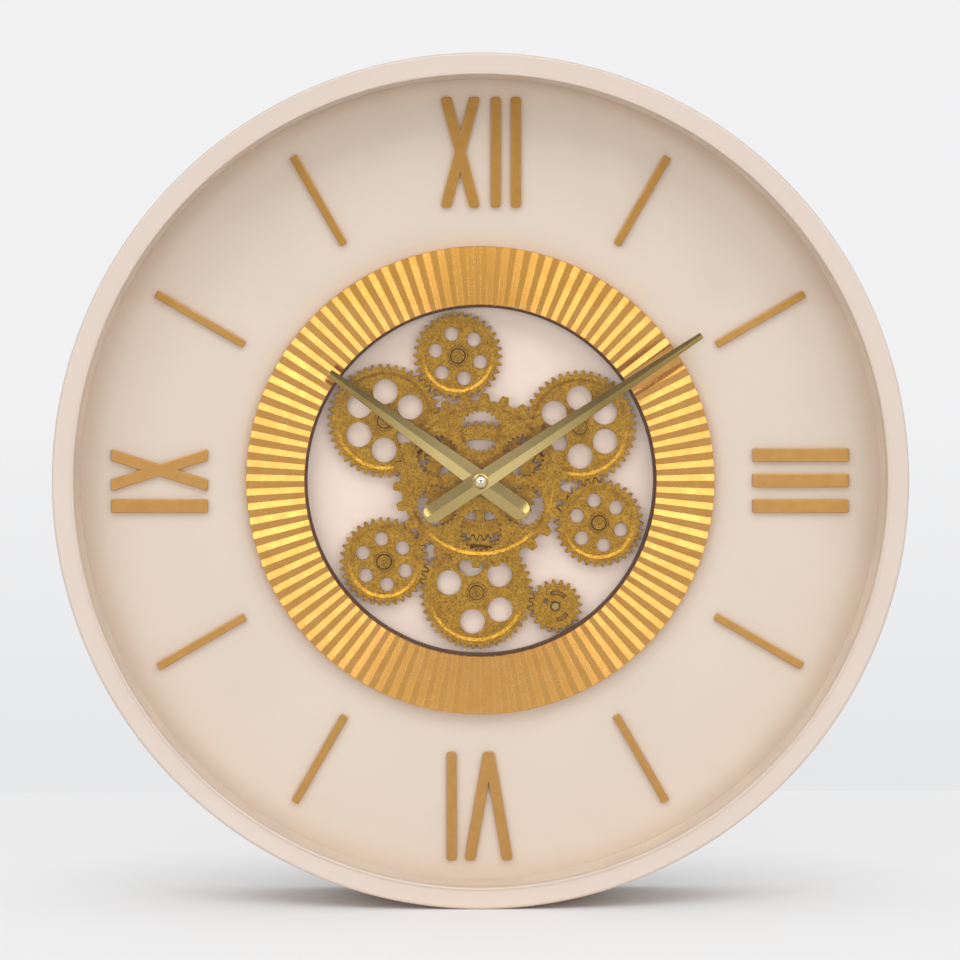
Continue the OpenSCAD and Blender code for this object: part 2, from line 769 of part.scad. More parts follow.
module centre_bush() color("silver") upright() difference() {
  union() {
    translate([0, 0, housing_floor - housing_front_t])
      cylinder(r = bush_r, h = bush_front - housing_floor + housing_front_t);
    translate([0, 0, housing_floor - housing_front_t]) cylinder(r = 1.6 * bush_r, h = housing_front_t);
  }
  bore(pipe_r + fit, housing_floor - housing_front_t, bush_front - housing_floor + housing_front_t);
}

module bush_washer() color("silver") upright() tube(2 * bush_r, bush_r, tray_front, washer_t);

module bush_nut() color("silver") upright() translate([0, 0, tray_front + washer_t]) difference() {
  cylinder(r = 1.7 * bush_r, h = nut_t, $fn = 6);
  bore(bush_r, 0, nut_t);
}

// Hands

// Hand along +x with a ridge, a round tail of radius w / 2 and a narrow end
module hand_blade(len, tail, w, tip_share) {
  r = w / 2;
  end = tip_share * r;
  stations = concat(
    [[len, 0.7 * end], [len - 0.4 * end, end], [0, r]],
    [for (a = [0:15:75]) [-tail + r - r * sin(a), r * cos(a)]]
  );
  n = len(stations);
  points = [
    for (s = stations)
      each [[s[0], -s[1], 0], [s[0], s[1], 0], [s[0], -s[1], hand_t], [s[0], s[1], hand_t],
        [s[0], 0, hand_t + ridge_h * s[1] / r]]
  ];
  e = 5 * (n - 1);
  polyhedron(points, concat(
    [for (k = [0:n - 2]) let (a = 5 * k, b = 5 * (k + 1)) each [
      [a, a + 1, b + 1], [a, b + 1, b],
      [a + 2, a, b], [a + 2, b, b + 2],
      [a + 1, a + 3, b + 3], [a + 1, b + 3, b + 1],
      [a + 4, a + 2, b + 2], [a + 4, b + 2, b + 4],
      [a + 3, a + 4, b + 4], [a + 3, b + 4, b + 3]
    ]],
    [[0, 2, 1], [2, 3, 1], [2, 4, 3]],
    [[e, e + 1, e + 2], [e + 2, e + 1, e + 3], [e + 2, e + 3, e + 4]]
  ));
}

module minute_hand() color("darkkhaki") upright() translate([0, 0, minute_z]) difference() {
  union() {
    rotate(minute_angle) hand_blade(minute_len, minute_tail, minute_w, hand_tip_share);
    cylinder(r = nut_r, h = hand_t + ridge_h);
  }
  bore(arbor_r, 0, hand_t + ridge_h);
}

module hour_hand() color("darkkhaki") upright() translate([0, 0, hour_z]) difference() {
  union() {
    rotate(hour_angle) hand_blade(hour_len, hour_tail, hour_w, hour_tip_share);
    translate([0, 0, -hand_space]) cylinder(r = 1.5 * pipe_r, h = hand_space + hand_t + ridge_h);
  }
  bore(pipe_r, -hand_space, hand_space + hand_t + ridge_h);
}

module hand_nut() color("gold") upright() translate([0, 0, minute_front]) difference() {
  intersection() {
    sphere(r = nut_r);
    cylinder(r = nut_r, h = nut_r);
  }
  bore(arbor_r, -over, nut_r / 2 + over);
}

// Clock movement

// Minute arbor, from its pivot in the rear cover to its thread under the domed nut
module minute_arbor() color("silver") upright() {
  pivot();
  translate([0, 0, cannon_z]) fine_gear(cannon_teeth, cannon_m, cannon_h);
  translate([0, 0, cannon_z]) cylinder(r = arbor_r, h = minute_front + nut_r / 2 - cannon_z);
}

module hour_wheel() color("ivory") upright() difference() {
  union() {
    translate([0, 0, hour_wheel_z]) fine_gear(hour_teeth, fine_m, fine_t, hour_phase);
    translate([0, 0, hour_wheel_z])
      cylinder(r = 1.5 * pipe_r, h = housing_floor - housing_front_t - face_gap - hour_wheel_z);
    translate([0, 0, hour_wheel_z]) cylinder(r = pipe_r, h = hour_front - hour_wheel_z);
  }
  bore(arbor_r + fit, hour_wheel_z, hour_front - hour_wheel_z);
}

// Wheel and pinion between the minute arbor and the hour wheel, on the set knob's arbor
module motion_wheel() color("ivory") upright() at(motion_at) difference() {
  union() {
    translate([0, 0, motion_z]) fine_gear(motion_teeth, cannon_m, fine_t, motion_phase);
    translate([0, 0, motion_z])
      fine_gear(motion_pinion_teeth, fine_m, hour_wheel_z + fine_t + face_gap - motion_z);
  }
  bore(motion_arbor_r, motion_z, hour_wheel_z + fine_t + face_gap - motion_z);
}

module set_knob() color("dimgray") upright() at(motion_at) {
  translate([0, 0, housing_z - face_gap - knob_t]) linear_extrude(knob_t) polygon([
    for (k = [0:2 * knob_flutes - 1]) polar(k % 2 == 0 ? knob_r : 0.94 * knob_r, 180 * k / knob_flutes)
  ]);
  translate([0, 0, housing_z - face_gap])
    cylinder(r = motion_arbor_r, h = housing_floor - end_play - housing_z + face_gap);
}

// Room cut into a housing, as wide as its walls allow
module room(y_low, y_high, z_low, z_high) translate([-housing_w / 2 + housing_t, y_low, z_low])
  cube([housing_w - 2 * housing_t, y_high - y_low, z_high - z_low]);

module cover_posts(y_low, y_high) for (x = [-1, 1], y = [y_low + post_in, y_high - post_in])
  translate([x * (housing_w / 2 - housing_t - post_in), y, cover_front])
    cylinder(r = post_in, h = housing_floor + sink - cover_front);

// Bearing that stands on the front wall of a housing
module bearing(p, r, h = bearing_h) at(p, housing_floor - h) cylinder(r = r + bearing_wall, h = h + sink);

module bearing_hole(p, r) at(p, housing_floor - bearing_h - over) cylinder(r = r + fit, h = bearing_h + over);

module pivot_hole(p) at(p, cover_front - cover_t / 2 - face_gap)
  cylinder(r = pivot_r + fit, h = cover_t / 2 + face_gap + over);

module support(p, z) at(p, z) cylinder(r = support_r, h = housing_floor + sink - z);

module movement_case() color("dimgray") upright() difference() {
  union() {
    difference() {
      translate([0, bay_low - housing_t + movement_h / 2, housing_z]) linear_extrude(housing_depth)
        rounded_rect(housing_w, movement_h, corner_r);
      room(bay_low, bay_low + bay_h, housing_z - over, housing_floor);
      room(movement_low, movement_top, housing_z - over, housing_floor);
    }
    cover_posts(movement_low, movement_top);
    bearing(motion_at, motion_arbor_r);
    for (y = [-1, 1]) {
      support(clock_coil_at + [stator_w / 2 - 2 * support_r, y * coil_len / 4], stator_z + stator_t);
      support(board_at + [0, y * board_l / 3], board_z + board_t);
    }
  }
  bore(bush_r, housing_floor - over, housing_front_t + over);
  bearing_hole(motion_at, motion_arbor_r);
}

module movement_cover() color("dimgray") upright() difference() {
  room_cover(movement_low, movement_top);
  at(motion_at) bore(motion_arbor_r + fit, housing_z, cover_t);
  pivot_hole([0, 0]);
}

// Cover that drops into the room over the mechanism
module room_cover(y_low, y_high)
  translate([-housing_w / 2 + housing_t + face_gap, y_low + face_gap, housing_z])
    cube([housing_w - 2 * housing_t - 2 * face_gap, y_high - y_low - 2 * face_gap, cover_t]);

// Coil on one leg of a stator plate that lies beside it
module coil_unit(hole_r) difference() {
  union() {
    translate([-stator_w / 2, -coil_len / 2, stator_z]) cube([stator_w, coil_len, stator_t]);
    translate([coil_r - stator_w / 2, -coil_len / 2, stator_z + stator_t / 2]) rotate([-90, 0, 0])
      cylinder(r = coil_r, h = coil_len);
  }
  translate([rotor_in, 0, 0]) bore(hole_r, stator_z, stator_t);
}

module movement_coil() color("orangered") upright() at(clock_coil_at) coil_unit(magnet_r);

// Circuit board with its chip and its crystal can
module movement_board() color("seagreen") upright() at(board_at) {
  translate([-board_w / 2, -board_l / 2, board_z]) cube([board_w, board_l, board_t]);
  translate([0, -board_l / 5, board_z - board_t]) cylinder(r = board_w / 4, h = board_t);
  translate([board_w / 4, board_l / 8, board_z - board_t / 2]) rotate([-90, 0, 0])
    cylinder(r = board_t, h = board_l / 4);
}

// AA cell across a bay, its button towards +x
module cell(y) translate([housing_w / 2 - housing_t - contact_t, y, cell_z]) rotate([0, -90, 0]) {
  cylinder(r = cell_button_r, h = cell_button_h);
  translate([0, 0, cell_button_h]) cylinder(r = cell_d / 2, h = cell_len);
}

// Flat contact at the cell's button, and a contact with a spring at its other end
module contacts(y) {
  inner = housing_w / 2 - housing_t;
  for (x = [inner - contact_t, -inner]) translate([x, y - contact_w / 2, cell_z - contact_w / 2])
    cube([contact_t, contact_w, contact_w]);
  translate([contact_t - inner, y, cell_z]) rotate([0, 90, 0])
    cylinder(r1 = spring_r, r2 = 0.7 * spring_r, h = 2 * (inner - contact_t) - cell_len - cell_button_h);
}

module clock_cell() color("darkslategray") upright() cell(bay_low + bay_h / 2);

module clock_contacts() color("silver") upright() contacts(bay_low + bay_h / 2);

// Gear drive

module drive_case() color("dimgray") upright() difference() {
  union() {
    at(drive_at) difference() {
      translate([0, 0, housing_z]) linear_extrude(housing_depth) rounded_rect(housing_w, drive_h, corner_r);
      room(gear_room_low, drive_top, housing_z - over, housing_floor);
      for (y = drive_bays) room(y - bay_h / 2, y + bay_h / 2, housing_z - over, housing_floor);
    }
    for (p = lug_places) at(p, housing_front - lug_t) linear_extrude(lug_t)
      rounded_rect(lug_w + 2 * sink, lug_w, corner_r);
    at(drive_at) cover_posts(gear_room_low, drive_top);
    bearing(reduction_at, motion_arbor_r);
    bearing(rotor_at, pivot_r, rotor_bearing_h);
    for (y = [-1, 1])
      support(drive_coil_at + [stator_w / 2 - 2 * support_r, y * coil_len / 3], stator_z + stator_t);
  }
  at(pinion_at) bore(output_arbor_r + fit, housing_floor, housing_front_t);
  bearing_hole(reduction_at, motion_arbor_r);
  bearing_hole(rotor_at, pivot_r);
  for (p = lug_places) at(p) bore(screw_r, housing_front - lug_t, lug_t);
}

module drive_cover() color("dimgray") upright() difference() {
  at(drive_at) room_cover(gear_room_low, drive_top);
  pivot_hole(pinion_at);
  pivot_hole(reduction_at);
  pivot_hole(rotor_at);
  at(switch_at) translate([-thumb / 2 - face_gap, -thumb / 2 - face_gap, housing_z - over])
    cube([thumb + switch_travel + 2 * face_gap, thumb + 2 * face_gap, cover_t + 2 * over]);
}

// Pivot that runs in a blind hole of a cover
module pivot() translate([0, 0, cover_front - cover_t / 2])
  cylinder(r = pivot_r, h = cover_t / 2 + cover_gap);

// Output arbor with its wheel, which carries the drive pinion in front of the tray
module drive_arbor() color("silver") upright() at(pinion_at) {
  pivot();
  translate([0, 0, cover_front + cover_gap])
    cylinder(r = output_arbor_r, h = wheel_front - cover_front - cover_gap);
  translate([0, 0, output_z]) fine_gear(output_teeth, fine_m, fine_t);
}

module reduction_wheel() color("ivory") upright() at(reduction_at) {
  pivot();
  translate([0, 0, cover_front + cover_gap])
    cylinder(r = motion_arbor_r, h = housing_floor - end_play - cover_front - cover_gap);
  translate([0, 0, reduction_z]) fine_gear(reduction_teeth, fine_m, fine_t, reduction_phase);
  translate([0, 0, reduction_z])
    fine_gear(reduction_pinion_teeth, fine_m, output_z + fine_t + face_gap - reduction_z, reduction_phase);
}

// Rotor with its magnet in the hole of the stator plate
module drive_rotor() color("slategray") upright() at(rotor_at) {
  translate([0, 0, cover_front - cover_t / 2])
    cylinder(r = pivot_r, h = housing_floor - end_play - cover_front + cover_t / 2);
  translate([0, 0, reduction_z - cover_gap / 2])
    fine_gear(rotor_teeth, fine_m, fine_t + cover_gap, rotor_phase);
  translate([0, 0, stator_z - (magnet_h - stator_t) / 2]) cylinder(r = magnet_r, h = magnet_h);
}

module drive_coil() color("orangered") upright() at(drive_coil_at) coil_unit(magnet_r + slip);

module drive_cells() color("darkslategray") upright() at(drive_at) {
  cell(drive_bays[0]);
  mirror([1, 0, 0]) cell(drive_bays[1]);
}

module drive_contacts() color("silver") upright() at(drive_at) {
  contacts(drive_bays[0]);
  mirror([1, 0, 0]) contacts(drive_bays[1]);
}

module drive_screws() color("silver") upright() for (p = lug_places) at(p)
  screw(housing_front - lug_t, lug_t + tray_t);

// Thumb slider of the drive switch, with its foot behind the cover
module power_switch() color("black") upright() at(switch_at) {
  translate([-thumb / 2, -thumb / 2, housing_z - thumb_rise])
    cube([thumb, thumb, cover_front + face_gap + slider_t - housing_z + thumb_rise]);
  translate([-thumb - switch_travel / 2, -thumb, cover_front + face_gap])
    cube([2 * thumb + switch_travel, 2 * thumb, slider_t]);
}

// Back

module back_panel() color("saddlebrown") upright() difference() {
  translate([0, 0, panel_z]) cylinder(r = panel_r, h = panel_t, $fn = 240);
  translate([0, 0, panel_z - over]) linear_extrude(panel_t + 2 * over) {
    translate([0, bay_low - housing_t + movement_h / 2])
      rounded_rect(housing_w + 2 * slip, movement_h + 2 * slip, corner_r + slip);
    translate(drive_at) rounded_rect(housing_w + 2 * slip, drive_h + 2 * slip, corner_r + slip);
    keyhole(keyhole_r + head_room, 2 * keyhole_r);
  }
  ring_of(bosses, boss_ring_r) bore(screw_r, panel_z, panel_t);
  rivet_places() bore(rivet_r, panel_z, panel_t);
}

// Round entry hole with a slot above it
module keyhole(r, w) translate([0, hanger_up]) union() {
  circle(r);
  translate([-w / 2, 0]) square([w, keyslot_rise]);
  translate([0, keyslot_rise]) circle(w / 2);
}

module rivet_places() translate([0, hanger_up + keyslot_rise / 2, 0]) for (x = [-1, 1], y = [-1, 1])
  translate([x * (hanger_w / 2 - rivet_in), y * (hanger_h / 2 - rivet_in), 0]) children();

module hanger_plate() color("silver") upright() difference() {
  translate([0, 0, panel_z - hanger_t]) linear_extrude(hanger_t) difference() {
    translate([0, hanger_up + keyslot_rise / 2]) rounded_rect(hanger_w, hanger_h, corner_r);
    keyhole(keyhole_r, keyslot_w);
  }
  rivet_places() bore(rivet_r, panel_z - hanger_t, hanger_t);
}

module hanger_rivets() color("silver") upright() rivet_places() {
  translate([0, 0, panel_z - hanger_t]) cylinder(r = rivet_r, h = hanger_t + panel_t);
  translate([0, 0, panel_z - hanger_t - rivet_head_t]) cylinder(r = rivet_head_r, h = rivet_head_t);
  translate([0, 0, panel_front]) cylinder(r = rivet_head_r, h = rivet_head_t);
}

module back_screws() color("silver") upright() ring_of(bosses, boss_ring_r)
  screw(panel_z, panel_t + pilot_depth - hub_rise);

module dial_screws() color("silver") upright() ring_of(bosses, boss_ring_r, boss_step / 2)
  screw(dial_back, dial_t + pilot_depth - hub_rise);

module tray_screws() color("silver") upright() ring_of(bosses, flange_screw_r, boss_step / 2)
  screw(liner_z - tray_flange_t, dial_z + ring_pilot - slip - liner_z + tray_flange_t);

module wall_pads() color("gray") upright() ring_of(4, panel_r - pad_in, 45) cylinder(r = pad_r, h = panel_z);

case_rim();
glass();
glass_seal();
spacer_ring();
dial_board();
fluted_ring();
window_liner();
gear_tray();
numeral_xii();
numeral_iii();
numeral_vi();
numeral_ix();
hour_batons();
centre_wheel();
sun_wheel();
large_wheel_left();
large_wheel_right();
large_wheel_bottom();
small_wheel_top();
small_wheel_right();
small_wheel_left();
drive_pinion();
wheel_posts();
post_caps();
centre_clip();
centre_bush();
bush_washer();
bush_nut();
hour_hand();
minute_hand();
hand_nut();
minute_arbor();
hour_wheel();
motion_wheel();
set_knob();
movement_case();
movement_cover();
movement_coil();
movement_board();
clock_cell();
clock_contacts();
drive_case();
drive_cover();
drive_arbor();
reduction_wheel();
drive_rotor();
drive_coil();
drive_cells();
drive_contacts();
drive_screws();
power_switch();
back_panel();
hanger_plate();
hanger_rivets();
back_screws();
dial_screws();
tray_screws();
wall_pads();
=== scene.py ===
"""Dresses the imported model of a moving-gears wall clock and lights it for its picture.

Lengths are in metres and angles in degrees, where a line doesn't say otherwise.
"""

from __future__ import annotations

import logging
import math
from collections.abc import Iterable, Sequence
from dataclasses import dataclass
from enum import Enum

import bmesh
import bpy
from mathutils import Matrix, Vector

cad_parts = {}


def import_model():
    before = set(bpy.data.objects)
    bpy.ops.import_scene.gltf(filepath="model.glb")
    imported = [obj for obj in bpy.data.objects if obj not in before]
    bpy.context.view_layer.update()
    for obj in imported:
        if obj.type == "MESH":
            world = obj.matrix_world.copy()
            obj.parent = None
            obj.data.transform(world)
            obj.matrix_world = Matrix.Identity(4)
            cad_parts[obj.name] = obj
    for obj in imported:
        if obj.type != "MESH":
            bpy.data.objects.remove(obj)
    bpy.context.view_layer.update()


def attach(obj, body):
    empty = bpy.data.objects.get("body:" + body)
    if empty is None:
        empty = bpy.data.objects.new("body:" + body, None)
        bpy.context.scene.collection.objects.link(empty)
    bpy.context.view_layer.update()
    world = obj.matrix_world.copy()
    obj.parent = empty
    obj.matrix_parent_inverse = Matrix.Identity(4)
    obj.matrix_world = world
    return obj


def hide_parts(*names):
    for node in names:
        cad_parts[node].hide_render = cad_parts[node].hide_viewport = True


LOG = logging.getLogger("clock")

Colour = tuple[float, float, float]
Point = tuple[float, float, float]
Spot = tuple[float, float]
Face = tuple[int, ...]

MM = 0.001
TURN = math.tau


def screen(*levels: int) -> Colour:
    """The light values of a colour whose red, green and blue a screen shows as 0 to 255."""
    shares = (level / 255 for level in levels)
    return tuple(s / 12.92 if s <= 0.04045 else ((s + 0.055) / 1.055) ** 2.4 for s in shares)


def rgba(colour: Colour) -> tuple[float, float, float, float]:
    """The colour with full cover, as a socket takes it."""
    return (*colour, 1.0)


class Signal:
    """One output of a shader node, with the arithmetic that adds Math nodes."""

    def __init__(self, recipe: Recipe, socket: bpy.types.NodeSocket | None) -> None:
        """Keep the recipe that the socket belongs to."""
        self.recipe = recipe
        self.socket = socket

    def _math(self, operation: str, first: Signal | float, second: Signal | float) -> Signal:
        """A Math node on two values."""
        return self.recipe.node("ShaderNodeMath", {"operation": operation}, {0: first, 1: second})

    def __add__(self, other: Signal | float) -> Signal:
        """Sum, with the number on either side."""
        return self._math("ADD", self, other)

    __radd__ = __add__

    def __sub__(self, other: Signal | float) -> Signal:
        """Difference."""
        return self._math("SUBTRACT", self, other)

    def __rsub__(self, other: float) -> Signal:
        """Difference, with the number first."""
        return self._math("SUBTRACT", other, self)

    def __mul__(self, other: Signal | float) -> Signal:
        """Product, with the number on either side."""
        return self._math("MULTIPLY", self, other)

    __rmul__ = __mul__

    def __pow__(self, other: Signal | float) -> Signal:
        """Power."""
        return self._math("POWER", self, other)

    def angle_to(self, other: Signal) -> Signal:
        """Angle of the point whose height is this value and whose run is the other."""
        return self._math("ARCTAN2", self, other)

    def sibling(self, out: str | int) -> Signal:
        """Another output of the node that this value comes from."""
        return Signal(self.recipe, self.socket.node.outputs[out])

    def clamped(self) -> Signal:
        """The value held between 0 and 1."""
        return self.recipe.node(
            "ShaderNodeMath", {"operation": "ADD", "use_clamp": True}, {0: self, 1: 0.0}
        )


class Recipe:
    """The node tree of one material or of the world, built from empty."""

    def __init__(self, tree: bpy.types.NodeTree) -> None:
        """Empty the tree."""
        self.tree = tree
        tree.nodes.clear()

    def node(
        self,
        kind: str,
        settings: dict[str, object] | None = None,
        values: dict[str | int, object] | None = None,
        out: str | int = 0,
    ) -> Signal:
        """Add a node, set it up and feed its sockets.

        Args:
            kind: Blender's name of the node type.
            settings: The node's own settings.
            values: A number, a colour or a Signal for each socket, by name or place.
            out: Name or place of the output to go on with.

        Returns:
            That output.
        """
        made = self.tree.nodes.new(kind)
        for name, value in (settings or {}).items():
            setattr(made, name, value)
        for key, value in (values or {}).items():
            if isinstance(value, Signal):
                self.tree.links.new(value.socket, made.inputs[key])
            else:
                made.inputs[key].default_value = value
        return Signal(self, made.outputs[out] if len(made.outputs) else None)

    def place(self) -> Signal:
        """Where a point of the surface lies on its piece."""
        return self.node("ShaderNodeTexCoord", out="Object")

    def stretched(self, place: Signal, by: Point) -> Signal:
        """The place with each of its directions multiplied."""
        return self.node("ShaderNodeVectorMath", {"operation": "MULTIPLY"}, {0: place, 1: by})

    def headed(self, place: Signal, heading: float) -> Signal:
        """The place turned in the front plane, so that X runs along a heading."""
        values = {"Vector": place, "Angle": math.radians(heading)}
        return self.node("ShaderNodeVectorRotate", {"rotation_type": "Y_AXIS"}, values)

    def noise(self, place: Signal, size: float, detail: float = 3.0, twist: float = 0.0) -> Signal:
        """Soft random patches.

        Args:
            place: The place on the piece.
            size: Width of a patch.
            detail: How many finer layers lie on the patches.
            twist: How far the patches are pulled out of shape.

        Returns:
            A value from about 0 to 1.
        """
        return self.node(
            "ShaderNodeTexNoise",
            values={"Vector": place, "Scale": 1 / size, "Detail": detail, "Distortion": twist},
        )

    def brushed(self, headed: Signal, size: float) -> Signal:
        """Long marks in the direction of X."""
        return self.noise(self.stretched(headed, (0.02, 1.0, 1.0)), size, 2.0)

    def cells(self, place: Signal, size: float) -> Signal:
        """Distance to the middle of the nearest of many small cells."""
        return self.node("ShaderNodeTexVoronoi", values={"Vector": place, "Scale": 1 / size})

    def openness(self, reach: float, samples: int) -> Signal:
        """1 on an open surface, and less where something stands within reach."""
        settings = {"samples": samples}
        return self.node("ShaderNodeAmbientOcclusion", settings, {"Distance": reach}, "AO")

    def ramp(self, value: Signal, stops: Sequence[Spot]) -> Signal:
        """Bend a value through grey stops.

        Args:
            value: The value.
            stops: Each stop's place and grey level, at least two.

        Returns:
            The grey level.
        """
        bent = self.node("ShaderNodeValToRGB", values={"Fac": value})
        elements = bent.socket.node.color_ramp.elements
        while len(elements) < len(stops):
            elements.new(1.0)
        for element, (place, grey) in zip(elements, stops):
            element.position = place
            element.color = (grey, grey, grey, 1.0)
        return bent

    def tint(self, factor: Signal, first: Signal | Colour, second: Colour) -> Signal:
        """Mix two colours.

        Args:
            factor: The share of the second one.
            first: The first colour.
            second: The second colour.

        Returns:
            The mixed colour.
        """
        if not isinstance(first, Signal):
            first = rgba(first)
        values = {0: factor, 6: first, 7: rgba(second)}
        return self.node("ShaderNodeMix", {"data_type": "RGBA"}, values, 2)

    def bump(self, height: Signal, depth: float) -> Signal:
        """A surface that leans with a height field of that depth."""
        return self.node("ShaderNodeBump", values={"Distance": depth, "Height": height})

    def seen(self) -> Signal:
        """1 for what the camera sees straight, in a gloss or through glass, and else 0."""
        eye = self.node("ShaderNodeLightPath", out="Is Camera Ray")
        return (eye + eye.sibling("Is Glossy Ray") + eye.sibling("Is Transmission Ray")).clamped()

    def coated(self, values: dict[str, object]) -> Signal:
        """The shader of paint, plastic or metal."""
        return self.node("ShaderNodeBsdfPrincipled", values=values)

    def mixed(self, share: Signal, first: Signal, second: Signal) -> Signal:
        """Mix two shaders, by the share of the second one."""
        return self.node("ShaderNodeMixShader", values={0: share, 1: first, 2: second})

    def surface(self, shader: Signal) -> None:
        """Send a shader to the material's output."""
        self.node("ShaderNodeOutputMaterial", values={"Surface": shader})


@dataclass(frozen=True)
class Skin:
    """What a piece is made of, as a material that is built at its first use."""

    name: str  # the material's name
    slot: str  # the material slot that it follows

    def material(self) -> bpy.types.Material:
        """Find the material, or build it.

        Returns:
            The material.
        """
        made = bpy.data.materials.get(self.name)
        if made is None:
            made = bpy.data.materials.new(self.name)
            made.use_nodes = True
            self.fill(Recipe(made.node_tree))
        return made

    def fill(self, recipe: Recipe) -> None:
        """Build the shader in an empty recipe."""
        raise NotImplementedError


class Grain(Enum):
    """How a surface is broken up close to."""

    SPRAYED = "sprayed lacquer"
    CAST = "pitted gilt casting"
    FLUTED = "drawn along each pleat"
    BRUSHED = "brushed lengthwise"
    TURNED = "turned on a lathe"
    MOULDED = "spark-eroded mould skin"
    FIBRE = "pressed fibres"
    WOUND = "wound wire"
    FOAM = "open foam"


@dataclass(frozen=True)
class Finish(Skin):
    """A finish: its colours, gloss and grain. Its lengths are in millimetres."""

    colour: Colour  # of the clean surface
    shade: Colour  # of its darker patches
    rough: float  # roughness in the middle of its range
    grain: Grain
    size: float = 1.0  # width of one grain
    depth: float = 0.02  # of the grain
    metal: float = 0.0  # 0 for paint and plastic, 1 for metal
    spread: float = 0.08  # how far the roughness moves from patch to patch
    patch: float = 40.0  # width of a patch
    coat: float = 0.0  # weight of a clear coat
    dirt_and_shade: Colour | None = None  # colour laid in the corners: painted shade on the cream rim and dial, grime and patina on metal; None for a clean surface
    reach: float = 2.5  # how far that dirt and painted shade reach out of a corner
    fleck: float = 0.0  # share of dirt in the hollows of the grain

    def fill(self, recipe: Recipe) -> None:
        """Build the shader.

        Args:
            recipe: An empty recipe.
        """
        place = recipe.place()
        grain = self._height(recipe, place)
        patch = recipe.noise(place, self.patch * MM, 4.0, 0.4)
        patch = recipe.ramp(patch, [(0.32, 0.0), (0.68, 1.0)])
        colour = recipe.tint(patch, self.colour, self.shade)
        rough = self.rough + (patch - 0.5) * self.spread + (grain - 0.5) * self.spread
        recipe.surface(recipe.coated({
            "Base Color": self._lay_dirt_and_shade(recipe, colour, grain),
            "Metallic": self.metal,
            "Roughness": rough.clamped(),
            "Coat Weight": self.coat,
            "Coat Roughness": 0.2,
            "Normal": recipe.bump(grain, self.depth * MM),
        }))

    def _lay_dirt_and_shade(self, recipe: Recipe, colour: Signal, grain: Signal) -> Signal:
        """Lay the corner colour in the corners, as painted shade on the cream rim and dial and as
        dirt on the metal, and dirt in the grain, where the finish has any.

        Args:
            recipe: The material's recipe.
            colour: The colour so far.
            grain: The height field of the grain.

        Returns:
            The colour with the dirt and painted shade on it.
        """
        if self.dirt_and_shade is None:
            return colour
        # Occlusion darkens the corners: painted shade on the cream rim and dial, dirt and patina
        # on the metal.
        corner = recipe.ramp(recipe.openness(self.reach * MM, 6), [(0.35, 0.85), (0.95, 0.0)])
        colour = recipe.tint(corner, colour, self.dirt_and_shade)
        if not self.fleck:
            return colour
        hollow = recipe.ramp(grain, [(0.36, self.fleck), (0.56, 0.0)])
        return recipe.tint(hollow, colour, self.dirt_and_shade)

    def _height(self, recipe: Recipe, place: Signal) -> Signal:
        """The height field of the finish's grain.

        Args:
            recipe: The material's recipe.
            place: The place on the piece.

        Returns:
            A value from about 0 to 1.
        """
        size = self.size * MM
        if self.grain is Grain.CAST:
            return 0.6 * recipe.noise(place, size, 4.0) + 0.4 * recipe.cells(place, size * 1.7)
        if self.grain is Grain.BRUSHED:
            return recipe.brushed(place, size)
        if self.grain in (Grain.FLUTED, Grain.TURNED):
            return recipe.noise(self._polar(recipe, place), size, 2.0)
        if self.grain is Grain.MOULDED:
            return recipe.cells(place, size)
        if self.grain is Grain.FIBRE:
            return recipe.noise(recipe.stretched(place, (1.0, 1.0, 0.35)), size, 5.0, 2.5)
        if self.grain is Grain.WOUND:
            return recipe.node(
                "ShaderNodeTexWave",
                {"bands_direction": "X"},
                {"Vector": place, "Scale": 1 / (TURN * size), "Distortion": 0.4},
            )
        if self.grain is Grain.FOAM:
            return recipe.cells(place, size) * recipe.noise(place, size * 0.4)
        return recipe.noise(place, size, 1.5)

    def _polar(self, recipe: Recipe, place: Signal) -> Signal:
        """The place as angle and radius about the clock's middle, so marks run out or round.

        Args:
            recipe: The material's recipe.
            place: The place on the piece.

        Returns:
            A vector whose long direction lies along the marks.
        """
        across = recipe.node("ShaderNodeSeparateXYZ", values={0: place}, out="X")
        height = across.sibling("Z")
        radius = (across * across + height * height) ** 0.5
        angle = height.angle_to(across)
        along, sideways = (0.03, 0.12) if self.grain is Grain.FLUTED else (1.0, 0.002)
        return recipe.node(
            "ShaderNodeCombineXYZ", values={0: radius * along, 1: angle * sideways, 2: 0.0}
        )


@dataclass(frozen=True)
class Pane(Skin):
    """Clear glass that lets lamp light through and shows a faint gloss."""

    index: float = 1.3  # of refraction, which sets the gloss
    clear: Colour = (0.953, 0.957, 0.962)  # share of the light that each face lets through
    smear: float = 60 * MM  # width of a smear

    def fill(self, recipe: Recipe) -> None:
        """Build the shader, with the same gloss from outside and from within.

        Args:
            recipe: An empty recipe.
        """
        smear = recipe.noise(recipe.place(), self.smear, 3.0, 0.5)
        facing = recipe.node("ShaderNodeLayerWeight", values={"Blend": 0.5}, out="Facing")
        least = ((self.index - 1) / (self.index + 1)) ** 2
        gloss = facing**5 * (1 - least) + least
        shadow = recipe.node("ShaderNodeLightPath", out="Is Shadow Ray")
        share = (gloss * (0.8 + smear * 0.3) * (1 - shadow)).clamped()
        clear = recipe.node("ShaderNodeBsdfTransparent", values={"Color": rgba(self.clear)})
        shine = recipe.node(
            "ShaderNodeBsdfAnisotropic",
            values={"Color": (1, 1, 1, 1), "Roughness": smear * 0.02},
        )
        recipe.surface(recipe.mixed(share, clear, shine))


